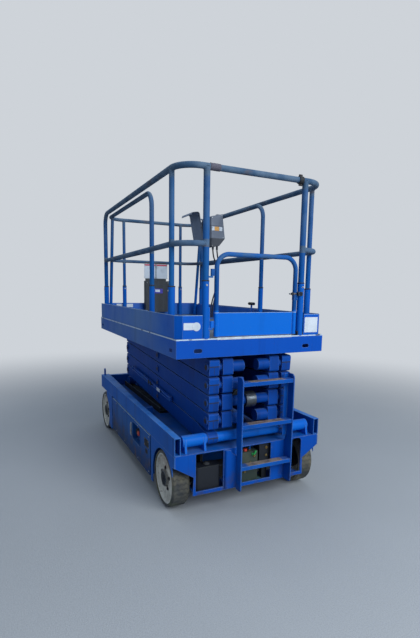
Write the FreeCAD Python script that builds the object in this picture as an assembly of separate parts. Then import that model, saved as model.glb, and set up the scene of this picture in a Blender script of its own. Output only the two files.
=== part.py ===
import FreeCAD, Part
import math
import os
from FreeCAD import Vector

# Electric slab scissor lift, stowed. Millimetres, +X the steered end, +Y the left side, +Z up.
# Everything is placed from the middle of the chassis; save() then moves it under the overall middle.
# Heights are stacked up from the wheels, widths from the inner arms outwards, lengths from the arms.
os.makedirs("parts", exist_ok=True)

# Fits and plate
RUN_GAP = 0.3
PLATE_T = 6.0

# Wheels
WHEEL_R = 203.0
WHEEL_W = 127.0
TYRE_SHOULDER = 12.0
TYRE_H = 23.0
RIM_R = WHEEL_R - TYRE_H
RIM_WALL = 11.0
RIM_DISC_T = 10.0
RIM_INSET = 8.0
RIM_DISH = 10.0
HUB_R = 58.0
HUB_STEP = 8.0
HUB_PROUD = 4.0
SPINDLE_R = 30.0
MOTOR_R = 92.0
MOTOR_L = 90.0

# Scissor stack
PAIRS = 5
ARM_L = 2080.0
ARM_H = 117.0
ARM_GAP = 9.0
PITCH = ARM_H + ARM_GAP
ARM_END = 41.0
ARM_END_R = 15.0
LOW_END_R = 22.0
BOSS_R = 43.0
BOSS_TAPER_X = (60.0, 150.0)
BOSS_TAPER_BEND = 60.0
INNER_W = 80.0
INNER_Y0 = 150.0
INNER_Y1 = INNER_Y0 + INNER_W
OUTER_W = 76.0
OUTER_Y0 = INNER_Y1 + 27.0
OUTER_Y1 = OUTER_Y0 + OUTER_W
PIN_R = 22.0
PIN_HEAD_R = 31.0
PIN_HEAD_T = 7.0
SPACER_R = 30.0
SIDE_GAP = 1.0
CROSS_TUBE_R = 37.0
STUB_TUBE_R = 42.0
STUB_TUBE_Y = 58.0
RAM_LEVEL = 2
STOWED = math.asin(PITCH / ARM_L)
LIFT_TRAVEL = math.radians(58.0)

# Chassis
UNDERSIDE_Z = 100.0
TRAY_T = 8.0
TRAY_Z0 = 2 * WHEEL_R + 36.0
BEAM_W = 46.0
BEAM_H = 126.0
BEAM_Z0 = TRAY_Z0 + TRAY_T
BEAM_Z1 = BEAM_Z0 + BEAM_H
BEAM_WALL = 6.0
CHASSIS_HALF_L = ARM_L / 2 + 122.0
CHASSIS_HALF_W = OUTER_Y1 + 264.0
STACK_X = 74.0 - CHASSIS_HALF_L
STACK_Z = BEAM_Z0 + 70.0
STACK_TOP_Z = STACK_Z + PAIRS * PITCH
REAR_AXLE_X = 241.0 - CHASSIS_HALF_L
FRONT_AXLE_X = CHASSIS_HALF_L - 162.0
FLANGE_FRONT_W = 84.0
FLANGE_TAPER_X0 = -300.0
FLANGE_TAPER_X1 = FRONT_AXLE_X - 90.0
CROSS_X = -125.0
CROSS_T = 50.0
CROSS_H = 60.0
WHEEL_FACE_Y = CHASSIS_HALF_W - 6.0
WHEEL_BACK_Y = WHEEL_FACE_Y - WHEEL_W
WHEEL_ROOM = 14.0
RIM_DISC_Y = WHEEL_FACE_Y - 31.0
MOTOR_Y1 = WHEEL_FACE_Y - 51.0
MOTOR_Y0 = MOTOR_Y1 - MOTOR_L

# Axle beams
AXLE_BEAM_HALF_X = 55.0
AXLE_BEAM_HALF_H = 45.0
HANGER_Y = MOTOR_Y0 - 150.0
HANGER_W = 20.0
HANGER_HALF_X = 45.0
SUBFRAME_HALF_X = 90.0
SUBFRAME_HALF_Y = 200.0

# Side modules
MODULE_DEPTH = 300.0
MODULE_X0 = REAR_AXLE_X + WHEEL_R + 80.0
MODULE_X1 = FRONT_AXLE_X - WHEEL_R - 170.0
MODULE_Z0 = UNDERSIDE_Z + 4.0
MODULE_Z1 = TRAY_Z0 - 12.0
MODULE_CORNER_R = 14.0
DOOR_T = 6.0
DOOR_LIP = 10.0
DOOR_LIP_T = 5.0
MODULE_HINGE_R = 11.0
MODULE_HINGE_X = MODULE_X1 + 13.0
MODULE_HINGE_Y = CHASSIS_HALF_W - 12.0
MODULE_HINGE_H = 60.0
MODULE_HINGES_Z = (MODULE_Z0 + 40.0, MODULE_Z1 - 100.0)
MODULE_LEAF = 16.0
MODULE_PIN_R = 5.0
MODULE_POST_H = 25.0
MODULE_POST_T = 6.0
STAY_X0 = MODULE_X1 + 35.0
STAY_T = 8.0
RECESS_X0 = MODULE_X0 + 270.0
RECESS_L = 231.0
RECESS_Z0 = MODULE_Z1 - 185.0
RECESS_H = 155.0
RECESS_DEPTH = 45.0
RECESS_WALL = 4.0
RECESS_R = 16.0
TRAY_LIFT = 6.0
TRAY_END = 20.0
UNIT_END = 10.0
UNIT_TOP_GAP = 45.0
UNIT_SIDE_GAP = 8.0
BATTERIES = 4
BATTERY_GAP = 8.0
TANK_UNITS = 3
TANK_GAP = 20.0

# Closed centre section under the tray
KEEL_HALF_W = CHASSIS_HALF_W - MODULE_DEPTH - 62.0
KEEL_Z0 = WHEEL_R + 12.0
KEEL_X0 = REAR_AXLE_X + 91.0
KEEL_X1 = FRONT_AXLE_X - 255.0

# Tie-down eyes
LUG_X = CHASSIS_HALF_L - 30.0
LUG_Y = CHASSIS_HALF_W - 34.0
LUG_W = 46.0
LUG_H = 73.0
LUG_T = 12.0
LUG_HOLE_R = 11.0

# Rear end
REAR_PLATE_T = 10.0
CHAMFER_Z1 = TRAY_Z0 - 76.0
CHAMFER_Z0 = CHAMFER_Z1 - 85.0
REAR_FOOT_Y = WHEEL_BACK_Y - 4.0
REAR_FOOT_LEAN = 5.0
SILL_Z0 = UNDERSIDE_Z + 48.0
SILL_H = 25.0
SILL_DEPTH = 160.0
SILL_END = 20.0
SILL_HOLE_R = 21.0
SILL_HOLE_X = 45.0
SILL_HOLE_Y = 350.0
BAY_TOP_Z = TRAY_Z0 + 2.0
BAY_FOOT_R = 6.0
# each bay: its two sides and the radius of its upper corners
REAR_BAYS = ((228.0, 440.0, 6.0), (-165.0, 104.0, 8.0), (-440.0, -346.0, 30.0))
COLUMN_Y0 = 116.0
COLUMN_Y1 = 222.0
COLUMN_PROUD = 22.0
COLUMN_EDGE_R = 18.0
COLUMN_NOTCH_R = 70.0
COLUMN_NOTCH_Z = BAY_TOP_Z + 20.0

# Units that show in the rear bays: how deep they are and where their sides stand
BAY_UNIT_X = REAR_PLATE_T + 20.0 - CHASSIS_HALF_L
BAY_UNIT_FLOOR = SILL_Z0 + PLATE_T + RUN_GAP
PUMP_DEPTH = 90.0
PUMP_Y0 = -70.0
PUMP_Y1 = 62.0
PUMP_TOP_Z = BAY_TOP_Z - 59.0
VALVE_DEPTH = 80.0
VALVE_Y0 = -200.0
VALVE_Y1 = -84.0
VALVE_Z0 = PUMP_TOP_Z - 85.0
VALVE_Z1 = BAY_TOP_Z - 3.0
VALVE_FOOT_HALF = 20.0
RESERVOIR_DEPTH = 92.0
RESERVOIR_Y0 = 235.0
RESERVOIR_Y1 = 425.0
RESERVOIR_TOP_Z = PUMP_TOP_Z - 55.0
RESERVOIR_R = 22.0

# Side skirts
SKIRT_FOOT_Z = UNDERSIDE_Z - 15.0
FRONT_SKIRT_X0 = STAY_X0 - 2.0
FRONT_SKIRT_FOOT_X = FRONT_AXLE_X - 205.0
FRONT_SKIRT_TOP_X = FRONT_AXLE_X - 95.0
REAR_SKIRT_X1 = MODULE_X0 - 22.0
REAR_SKIRT_FOOT_X = REAR_AXLE_X + 164.0
REAR_SKIRT_CORNER_X = 43.0 - CHASSIS_HALF_L
SKIRT_BEND_R = 10.0
STAY_Z0 = UNDERSIDE_Z + 40.0
BULKHEAD_X0 = REAR_SKIRT_X1 - 30.0

# Ladder
LADDER_X0 = -CHASSIS_HALF_L - 88.0
LADDER_X1 = -CHASSIS_HALF_L - 13.0
STILE_T = 8.0
STILE_FOOT_Z = SILL_Z0 + 2.0
STILE_SEAT_Z = BAY_TOP_Z + 6.0
STILE_NECK_Z = BAY_TOP_Z + 40.0
STILE_FLANGE_W = 34.0
STILE_FLANGE_T = 6.0
# each stile: where it stands and how far the plate behind it is proud
STILES = ((134.0, COLUMN_PROUD), (-285.0, 0.0))
RUNG_X0 = LADDER_X0 + 6.0
RUNG_X1 = LADDER_X1 - 12.0
RUNG_H = 28.0
RUNG_WALL = 4.0
RUNG_PITCH = 300.0
RUNGS = 3
RUNG_BELOW_DECK = 302.0
STILE_ABOVE_RUNG = 32.0

# Steering
KINGPIN_Y = WHEEL_BACK_Y - 39.0
KINGPIN_R = 16.0
KINGPIN_PROUD = 4.0
KNUCKLE_R = 30.0
KNUCKLE_NECK_R = 55.0
FORK_T = 16.0
FORK_Z0 = 86.0
FORK_Z1 = TRAY_Z0 - 54.0
FORK_GAP = 3.0
AXLE_BEAM_HALF_Y = KINGPIN_Y - 90.0
STEER_ARM_L = 125.0
STEER_ARM_T = 14.0
STEER_ARM_Z = 150.0
STEER_ARM_HALF_W = 18.0
TIE_ROD_R = 11.0
TIE_ROD_EYE_R = 16.0
TIE_ROD_EYE_H = 24.0
TIE_ROD_PIN_R = 8.0

# Rear pivot tube
PIVOT_TUBE_R = 36.5
PIVOT_TUBE_HALF = CHASSIS_HALF_W - 77.0
COLLAR_R = 41.5
COLLAR_Y0 = OUTER_Y1 + 12.0
BEARING_T = 16.0
BEARING_EDGE = 8.0
CHEEK_REAR = 55.0
CHEEK_FRONT = 80.0
CHEEK_HEAD = 38.0
CHEEK_RISE = 30.0
CHEEK_R = 20.0

# Rollers and their tracks
ROLLER_R = 45.0
ROLLER_Y0 = OUTER_Y0 + 5.0
ROLLER_Y1 = OUTER_Y1 - 3.0
TRACK_Y0 = OUTER_Y0 - 1.0
TRACK_Y1 = OUTER_Y1 + 15.0
TRACK_LIP = 30.0
TRACK_LIP_T = 7.0
TRACK_END = 70.0
CROSS_Y0 = TRACK_Y1 + 65.0
DECK_ROLLER_R = 38.0
DECK_ROLLER_Y0 = OUTER_Y1 + 12.0
DECK_ROLLER_Y1 = DECK_ROLLER_Y0 + 40.0
CHANNEL_Y0 = OUTER_Y1 + 14.0
CHANNEL_Y1 = CHANNEL_Y0 + 51.0
CHANNEL_T = 7.0

# Maintenance brace
BRACE_Y0 = OUTER_Y1 + 13.0
BRACE_Y1 = BRACE_Y0 + 22.0
BRACE_X0 = 640.0
BRACE_X1 = ARM_L - 290.0
BRACE_DROP = 35.0
BRACE_H = 34.0
BRACE_WALL = 6.0
BRACE_LUG_W = 30.0
BRACE_END = 20.0

# Lift cylinder
RAM_FOOT = 150.0
RAM_PIN_R = 25.0
RAM_BARREL_R = 50.0
RAM_GLAND_L = 45.0
RAM_GLAND_R = RAM_BARREL_R + 6.0
RAM_ROD_R = 32.0
RAM_BORE_X0 = 68.0
RAM_END_GAP = 8.0
RAM_EYE_R = 58.0
RAM_EYE_HALF_Y = 40.0
RAM_SHOWN_ROD = 69.0
RAM_PORT_X0 = RAM_EYE_R + 30.0
RAM_PORT_L = 60.0
RAM_PORT_HALF = 22.0
RAM_PORT_H = 14.0

# Platform
DECK_X0 = -CHASSIS_HALF_L - 3.0
DECK_X1 = CHASSIS_HALF_L - 7.0
DECK_HALF_W = CHASSIS_HALF_W - 8.0
FLOOR_Z = STACK_TOP_Z + 82.0
FLOOR_T = 8.0
SKIRT_Z0 = FLOOR_Z - 127.0
SKIRT_T = 6.0
SKIRT_LIP = 26.0
TOE_TOP_Z = FLOOR_Z + 153.0
TOE_T = 3.0
TOE_INSET = 3.0
TOE_X0 = DECK_X0 + 2.0
TOE_X1 = DECK_X1 - 20.0
TOE_CORNER = 42.0
SLOT_L = 60.0
SLOT_H = 26.0
SLOT_Z = SKIRT_Z0 + 47.0
REAR_SLOTS_Y = DECK_HALF_W - 154.0
SIDE_SLOT_X = DECK_X0 + 98.0
BRACKET_Y0 = OUTER_Y0
BRACKET_T = 20.0
BRACKET_REAR = 45.0
BRACKET_FRONT = 75.0
BRACKET_EYE = 38.0
CROSSBAR_X0 = DECK_X1 - 93.0
CROSSBAR_W = 50.0

# Guardrails
RAIL_R = 20.0
MID_RAIL_R = 19.0
SIDE_POST_R = 18.0
REAR_POST_R = 21.5
SOCKET_R = 24.0
SADDLE = 6.0
RAIL_Y = DECK_HALF_W - 30.0
RAIL_REAR_X = DECK_X0 + 22.0
RAIL_FRONT_X = DECK_X1 - 170.0
RAIL_SIDE_X = DECK_X0 + 165.0
TOP_RAIL_Z = FLOOR_Z + 1083.0
MID_RAIL_Z = FLOOR_Z + 610.0
CORNER_R = 150.0
FRONT_BEND_R = 110.0
REAR_POST_LEFT_Y = RAIL_Y - 181.0
REAR_POST_RIGHT_Y = 174.0 - RAIL_Y
SOCKET_SIDE_Z = FLOOR_Z + 333.0
SOCKET_REAR_Z = FLOOR_Z + 373.0
POST_PLATE_Z = FLOOR_Z + 204.0
POST_PLATE_T = 6.0

# Gate
GATE_R = 16.0
HINGE_Y = REAR_POST_LEFT_Y - 44.0
HINGE_R = 8.0
HINGE_PIN_R = 5.0
HINGE_H = 46.0
HINGE_LEAF_HALF = 3.0
HINGE_LEDGE_H = 11.0
GATE_Y0 = REAR_POST_RIGHT_Y + 52.0
GATE_Y1 = HINGE_Y - 37.0
GATE_LOW_Z = FLOOR_Z + 9.0
GATE_TOP_Z = FLOOR_Z + 552.0
GATE_PANEL_Z = FLOOR_Z + 168.0
GATE_PANEL_T = 4.0
GATE_BEND_R = 90.0
GATE_HINGES_Z = (FLOOR_Z + 68.0, FLOOR_Z + 408.0)
LATCH_Z = FLOOR_Z + 253.0
LATCH_H = 45.0
LATCH_HALF_X = 14.0

# Roll-out extension deck
EXT_L = 1571.0
EXT_X1 = DECK_X1 - 30.0
EXT_X0 = EXT_X1 - EXT_L
EXT_HALF_W = DECK_HALF_W - 59.0
EXT_Z0 = FLOOR_Z + 7.0
EXT_T = 12.0
EXT_TOE_X0 = EXT_X0 + 60.0
EXT_TOE_Z = TOE_TOP_Z - 6.0
EXT_FRONT_TOE_Z = TOE_TOP_Z + 4.0
EXT_PAD_L = 90.0
EXT_PAD_W = 40.0
EXT_PAD_Y = EXT_HALF_W - EXT_PAD_W - 20.0
EXT_PADS_X = (EXT_X0 + 10.0, EXT_X0 + 266.0, EXT_X0 + 506.0)
EXT_RAIL_Y = RAIL_Y - 55.0
EXT_RAIL_R = 18.0
EXT_MID_R = 17.0
EXT_BRACE_R = 16.0
EXT_SOCKET_R = 21.0
EXT_FOOT_H = 60.0
EXT_TOP_Z = FLOOR_Z + 1058.0
EXT_MID_Z = FLOOR_Z + 618.0
EXT_SOCKET_Z = FLOOR_Z + 343.0
EXT_POST_X = EXT_X0 + 31.0
EXT_FRONT_X = EXT_X1 - 29.0
EXT_BRACE_TOP_X = EXT_FRONT_X - 204.0
EXT_BRACE_LOW_X = EXT_FRONT_X - 51.0
EXT_FRONT_POST_Y = EXT_RAIL_Y - CORNER_R - 20.0
LOCK_X = EXT_POST_X + 115.0
LOCK_Z = EXT_Z0 + 191.0
LOCK_R = 10.0
LOCK_HALF_L = 45.0
LOCK_POST_T = 12.0

# Control unit on the right rail of the extension
CONTROL_X0 = EXT_X0 + 746.0
CONTROL_L = 230.0
CONTROL_EDGE_R = 10.0
HOOD_L = 230.0
HOOD_T = 4.0
HOOD_LAP = 30.0
HOOD_BEND_R = 26.0
# outlines seen from the rear: distance inwards from the rail's line, height from that line
HOUSING_OUTLINE = ((24, 20), (24, -28), (-2, -223), (62, -297), (146, -311), (156, -10))
HOOD_OUTLINE = ((142, -220), (196, 62), (284, 48), (290, 22))
STRAP_END = 60.0
STRAP_REACH = 60.0
HOOD_STRAP_REACH = 192.0
STRAP_DROP = 10.0
STRAP_W = 36.0
STRAP_T = 6.0
JOYSTICK_R = 9.0
JOYSTICK_L = 62.0
JOYSTICK_X = CONTROL_X0 + 160.0
JOYSTICK_Y = 140.0 - EXT_RAIL_Y
JOYSTICK_Z = EXT_TOP_Z - 60.0
JOYSTICK_SLOPE = (0.0, 0.8, 0.6)
CABLE_R = 7.0
GLAND_R = 11.0
GLAND_GAP = 1.0
GROMMET_R = 13.0
GROMMET_H = 12.0
CABLE_TOP_Z = EXT_TOP_Z - 333.0
# each cable: how far along the unit it leaves, then its distance inwards from the rail's line, going down
CABLES = {
    "control_cable": (30.0, (118, 114, 84, 64, 58, 60, 70, 90, 112, 126, 132, 134)),
    "supply_cable": (54.0, (60, 52, 38, 34, 37, 43, 51, 62, 78, 93, 102, 104)),
}

# Papers box and panels at the front rail
DOCUMENT_Y0 = -165.0
DOCUMENT_Y1 = 114.0
DOCUMENT_DEPTH = 70.0
DOCUMENT_WALL = 4.0
DOCUMENT_Z0 = EXT_Z0 + 51.0
DOCUMENT_Z1 = EXT_MID_Z - 210.0
HANGER_T = 3.0
HANGER_END = 15.0
HANGER_LAP = 10.0
SIGN_T = 2.0
SIGN_W = 134.0
SIGN_GAP = 9.0
SIGN_Z0 = EXT_MID_Z - 182.0
SIGN_Z1 = EXT_MID_Z - 18.0

# Names, places and sides of the four wheels
WHEELS = (("front_left", FRONT_AXLE_X, 1), ("front_right", FRONT_AXLE_X, -1),
          ("rear_left", REAR_AXLE_X, 1), ("rear_right", REAR_AXLE_X, -1))

# From the middle of the chassis to the middle between the ladder and the front tyres
MOVE_X = -(LADDER_X0 + FRONT_AXLE_X + WHEEL_R) / 2


def box(x0, y0, z0, x1, y1, z1):
    return Part.makeBox(x1 - x0, y1 - y0, z1 - z0, Vector(x0, y0, z0))


def cylinder(radius, start, end):
    axis = end - start
    return Part.makeCylinder(radius, axis.Length, start, axis)


def across(radius, x, z, y0, y1):
    """A cylinder that lies across the machine from y0 to y1."""
    return cylinder(radius, Vector(x, min(y0, y1), z), Vector(x, max(y0, y1), z))


def upright(radius, x, y, z0, z1):
    return cylinder(radius, Vector(x, y, z0), Vector(x, y, z1))


def fused(shapes):
    shapes = list(shapes)
    if len(shapes) == 1:
        return shapes[0]
    return shapes[0].multiFuse(shapes[1:]).removeSplitter()


def mirrored(shape):
    return shape.mirror(Vector(0, 0, 0), Vector(0, 1, 0))


def both_sides(shape):
    return [shape, mirrored(shape)]


def rounded_path(points, radii, closed=False):
    """Straight runs joined by tangent arcs; radii[i] rounds the i-th corner, 0 leaves it sharp."""
    count = len(points)
    corners = range(count) if closed else range(1, count - 1)
    rounded = {}
    for index, radius in zip(corners, radii):
        corner = points[index]
        to_last = points[index - 1] - corner
        to_next = points[(index + 1) % count] - corner
        to_last.normalize()
        to_next.normalize()
        half = to_last.getAngle(to_next) / 2
        if radius <= 0:
            rounded[index] = (corner, None, corner)
            continue
        reach = radius / math.tan(half)
        inward = to_last + to_next
        inward.normalize()
        middle = corner + inward * (radius / math.sin(half) - radius)
        rounded[index] = (corner + to_last * reach, middle, corner + to_next * reach)
    edges = []
    spans = range(count) if closed else range(count - 1)
    for index in spans:
        following = (index + 1) % count
        start = rounded[index][2] if index in rounded else points[index]
        end = rounded[following][0] if following in rounded else points[following]
        if (end - start).Length > 0.01:
            edges.append(Part.LineSegment(start, end).toShape())
        if following in rounded and rounded[following][1] is not None:
            edges.append(Part.Arc(*rounded[following]).toShape())
    return Part.Wire(edges)


def tube_along(points, bends, radius):
    """A round bar that follows straight runs joined by bends of the given radii."""
    path = rounded_path(points, bends)
    ring = Part.Wire(Part.makeCircle(radius, points[0], points[1] - points[0]))
    return path.makePipeShell([ring], True, True)


def plate_xz(outline, radii, y0, y1):
    """A plate standing along the machine: an outline in X and Z, from y0 to y1."""
    wire = rounded_path([Vector(x, y0, z) for x, z in outline], radii, closed=True)
    return Part.Face(wire).extrude(Vector(0, y1 - y0, 0))


def plate_yz(outline, radii, x0, x1):
    """A plate standing across the machine: an outline in Y and Z, from x0 to x1."""
    wire = rounded_path([Vector(x0, y, z) for y, z in outline], radii, closed=True)
    return Part.Face(wire).extrude(Vector(x1 - x0, 0, 0))


def plate_xy(outline, radii, z0, z1):
    """A flat plate: an outline in X and Y, from z0 to z1."""
    wire = rounded_path([Vector(x, y, z0) for x, y in outline], radii, closed=True)
    return Part.Face(wire).extrude(Vector(0, 0, z1 - z0))


def corners(a0, b0, a1, b1):
    return [(a0, b0), (a1, b0), (a1, b1), (a0, b1)]


def slot_through_x(y, z, x0, x1):
    """An oval slot, long across the machine, that goes through along X."""
    half = SLOT_H / 2
    outline = corners(y - SLOT_L / 2, z - half, y + SLOT_L / 2, z + half)
    return plate_yz(outline, [half - 0.01] * 4, x0, x1)


def slot_through_y(x, z, y0, y1):
    """An oval slot, long along the machine, that goes through along Y."""
    half = SLOT_H / 2
    outline = corners(x - SLOT_L / 2, z - half, x + SLOT_L / 2, z + half)
    return plate_xz(outline, [half - 0.01] * 4, y0, y1)


# Chassis

def chassis_frame():
    """Two open box beams with tapered top flanges, the floor tray, cross members and the centre section."""
    inner = CHASSIS_HALF_W - BEAM_W
    beam = box(-CHASSIS_HALF_L, inner, BEAM_Z0, CHASSIS_HALF_L, CHASSIS_HALF_W, BEAM_Z1)
    hollow = box(-CHASSIS_HALF_L - 1, inner + BEAM_WALL, BEAM_Z0 + BEAM_WALL,
                 CHASSIS_HALF_L + 1, CHASSIS_HALF_W - BEAM_WALL, BEAM_Z1 - BEAM_WALL)
    flange_y = CHASSIS_HALF_W - FLANGE_FRONT_W
    flange = plate_xy([(FLANGE_TAPER_X0, inner + BEAM_WALL), (FLANGE_TAPER_X0, inner),
                       (FLANGE_TAPER_X1, flange_y), (CHASSIS_HALF_L, flange_y),
                       (CHASSIS_HALF_L, inner + BEAM_WALL)],
                      [0] * 5, BEAM_Z1 - BEAM_WALL, BEAM_Z1)
    parts = both_sides(fused([beam.cut(hollow), flange]))
    parts.append(box(-CHASSIS_HALF_L + REAR_PLATE_T + RUN_GAP, -CHASSIS_HALF_W, TRAY_Z0,
                     CHASSIS_HALF_L, CHASSIS_HALF_W, BEAM_Z0))
    parts.append(box(CHASSIS_HALF_L - CROSS_T, -inner, BEAM_Z0, CHASSIS_HALF_L, inner, BEAM_Z1 - BEAM_WALL))
    cross = box(CROSS_X - CROSS_T / 2, CROSS_Y0, BEAM_Z0, CROSS_X + CROSS_T / 2, inner, BEAM_Z0 + CROSS_H)
    parts += both_sides(cross)
    parts.append(box(KEEL_X0, -KEEL_HALF_W, KEEL_Z0, KEEL_X1, KEEL_HALF_W, TRAY_Z0))
    return fused(parts)


def tie_down_lugs():
    """Upright tie-down eyes at the two front corners."""
    top = BEAM_Z1 + LUG_H
    half = LUG_W / 2
    lug = plate_xz(corners(LUG_X - half, BEAM_Z1, LUG_X + half, top), [0, 0, half - 1, half - 1],
                   LUG_Y - LUG_T / 2, LUG_Y + LUG_T / 2)
    eye = across(LUG_HOLE_R, LUG_X, top - half, LUG_Y - LUG_T, LUG_Y + LUG_T)
    return both_sides(lug.cut(eye))


def side_skirts():
    """Fixed side plates with their stays: one behind the front wheel, one round the rear wheel."""
    y0 = CHASSIS_HALF_W - PLATE_T
    y1 = CHASSIS_HALF_W
    clear = WHEEL_R + WHEEL_ROOM
    front = plate_xz([(FRONT_SKIRT_X0, SKIRT_FOOT_Z), (FRONT_SKIRT_FOOT_X, SKIRT_FOOT_Z),
                      (FRONT_SKIRT_TOP_X, TRAY_Z0), (FRONT_SKIRT_X0, TRAY_Z0)],
                     [0, 2 * SKIRT_BEND_R, 0, 0], y0, y1)
    front = front.cut(across(clear, FRONT_AXLE_X, WHEEL_R, y0 - 1, y1 + 1))
    rear = plate_xz([(REAR_SKIRT_X1, SKIRT_FOOT_Z), (REAR_SKIRT_X1, TRAY_Z0), (-CHASSIS_HALF_L, TRAY_Z0),
                     (-CHASSIS_HALF_L, CHAMFER_Z1), (REAR_SKIRT_CORNER_X, CHAMFER_Z1),
                     (REAR_SKIRT_CORNER_X, CHAMFER_Z0), (REAR_SKIRT_FOOT_X, SKIRT_FOOT_Z)],
                    [0, 0, 0, 0, SKIRT_BEND_R, SKIRT_BEND_R, 0], y0, y1)
    rear = rear.cut(across(clear, REAR_AXLE_X, WHEEL_R, y0 - 1, y1 + 1))
    rear = rear.cut(box(REAR_AXLE_X - clear, y0 - 1, 0, REAR_AXLE_X + clear, y1 + 1, WHEEL_R))
    bulkhead = box(BULKHEAD_X0, KEEL_HALF_W, STAY_Z0, BULKHEAD_X0 + STAY_T, y0, TRAY_Z0)
    stay = box(STAY_X0, KEEL_HALF_W, STAY_Z0, STAY_X0 + STAY_T, y0, TRAY_Z0)
    left = [fused([front, stay]), fused([rear, bulkhead])]
    return left + [mirrored(piece) for piece in left]


def rear_end():
    """Rear plate with chamfered corners, three open bays over a deep sill, and the ladder's column."""
    x0 = -CHASSIS_HALF_L
    x1 = x0 + REAR_PLATE_T
    side = CHASSIS_HALF_W - PLATE_T - RUN_GAP
    foot = REAR_FOOT_Y
    chamfer = foot - REAR_FOOT_LEAN
    outline = [(-side, CHAMFER_Z1), (-chamfer, CHAMFER_Z0), (-foot, SILL_Z0), (foot, SILL_Z0),
               (chamfer, CHAMFER_Z0), (side, CHAMFER_Z1), (side, BEAM_Z0), (-side, BEAM_Z0)]
    plate = plate_yz(outline, [0] * 8, x0, x1)
    sill_z = SILL_Z0 + SILL_H
    for y0, y1, corner in REAR_BAYS:
        bay = corners(y0, sill_z, y1, BAY_TOP_Z)
        plate = plate.cut(plate_yz(bay, [BAY_FOOT_R, BAY_FOOT_R, corner, corner], x0 - 1, x1 + 1))
    shelf_y = foot - SILL_END
    shelf = box(x1 - 1, -shelf_y, SILL_Z0, x0 + SILL_DEPTH, shelf_y, SILL_Z0 + PLATE_T)
    shelf = shelf.cut(upright(SILL_HOLE_R, x0 + SILL_HOLE_X, SILL_HOLE_Y, SILL_Z0 - 1, SILL_Z0 + PLATE_T + 1))
    face = x0 - COLUMN_PROUD
    column = plate_xy(corners(face, COLUMN_Y0, x1, COLUMN_Y1), [COLUMN_EDGE_R, 0, 0, COLUMN_EDGE_R],
                      sill_z - 10, BAY_TOP_Z)
    notch = cylinder(COLUMN_NOTCH_R, Vector(face - 1, COLUMN_Y0, COLUMN_NOTCH_Z),
                     Vector(x0, COLUMN_Y0, COLUMN_NOTCH_Z))
    return fused([plate, shelf, column.cut(notch)])


def rear_bay_units():
    """Pump block, valve block on its foot, and the reservoir that show in the open rear bays."""
    x0 = BAY_UNIT_X
    floor = BAY_UNIT_FLOOR
    pump = box(x0, PUMP_Y0, floor, x0 + PUMP_DEPTH, PUMP_Y1, PUMP_TOP_Z)
    valves = box(x0, VALVE_Y0, VALVE_Z0, x0 + VALVE_DEPTH, VALVE_Y1, VALVE_Z1)
    middle_x = x0 + VALVE_DEPTH / 2
    middle_y = (VALVE_Y0 + VALVE_Y1) / 2
    foot = box(middle_x - VALVE_FOOT_HALF, middle_y - VALVE_FOOT_HALF, floor,
               middle_x + VALVE_FOOT_HALF, middle_y + VALVE_FOOT_HALF, VALVE_Z0)
    reservoir = plate_xy(corners(x0, RESERVOIR_Y0, x0 + RESERVOIR_DEPTH, RESERVOIR_Y1), [RESERVOIR_R] * 4,
                         floor, RESERVOIR_TOP_Z)
    return [pump, fused([valves, foot]), reservoir]


def rung_heights():
    top = FLOOR_Z - RUNG_BELOW_DECK
    return [top - RUNG_PITCH * step for step in range(RUNGS)]


def ladder():
    """Two angle stiles, wide at the foot where they seat on the rear end, and channel rungs."""
    top = rung_heights()[0] + STILE_ABOVE_RUNG
    middle = sum(y for y, proud in STILES) / len(STILES)
    parts = []
    for y, proud in STILES:
        seat = -CHASSIS_HALF_L - proud - RUN_GAP
        outline = [(LADDER_X0, STILE_FOOT_Z), (seat, STILE_FOOT_Z), (seat, STILE_SEAT_Z),
                   (LADDER_X1, STILE_NECK_Z), (LADDER_X1, top), (LADDER_X0, top)]
        parts.append(plate_xz(outline, [20, 0, 0, 10, 4, 30], y - STILE_T / 2, y + STILE_T / 2))
        inward = math.copysign(1, middle - y)
        edge = sorted((y + inward * (STILE_T / 2 - 1), y + inward * (STILE_T / 2 + STILE_FLANGE_W)))
        parts.append(box(LADDER_X1 - STILE_FLANGE_T, edge[0], STILE_NECK_Z + 10, LADDER_X1, edge[1], top - 4))
    y0 = min(y for y, proud in STILES)
    y1 = max(y for y, proud in STILES)
    for z in rung_heights():
        step = box(RUNG_X0, y0, z - RUNG_H, RUNG_X1, y1, z)
        under = box(RUNG_X0 + RUNG_WALL, y0 + STILE_T, z - RUNG_H - 1,
                    RUNG_X1 - RUNG_WALL, y1 - STILE_T, z - RUNG_WALL)
        parts.append(step.cut(under))
    return fused(parts)


def pivot_tube():
    """Cross tube on the chassis that carries the lowest outer arms, with its end collars and cheeks."""
    parts = [across(PIVOT_TUBE_R, STACK_X, STACK_Z, -PIVOT_TUBE_HALF, PIVOT_TUBE_HALF)]
    parts += both_sides(across(COLLAR_R, STACK_X, STACK_Z, COLLAR_Y0, PIVOT_TUBE_HALF))
    for y in (COLLAR_Y0 + BEARING_EDGE, PIVOT_TUBE_HALF - BEARING_T - BEARING_EDGE):
        cheek = plate_xz([(STACK_X - CHEEK_REAR, BEAM_Z0), (STACK_X + CHEEK_FRONT, BEAM_Z0),
                          (STACK_X + CHEEK_HEAD, STACK_Z + CHEEK_RISE),
                          (STACK_X - CHEEK_HEAD, STACK_Z + CHEEK_RISE)],
                         [0, 0, CHEEK_R, CHEEK_R], y, y + BEARING_T)
        parts += both_sides(cheek)
    return fused(parts)


def roller_x(lift):
    """Where the sliding pivots stand when the lift joint has turned by the given angle."""
    return STACK_X + ARM_L * math.cos(STOWED + lift)


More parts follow.
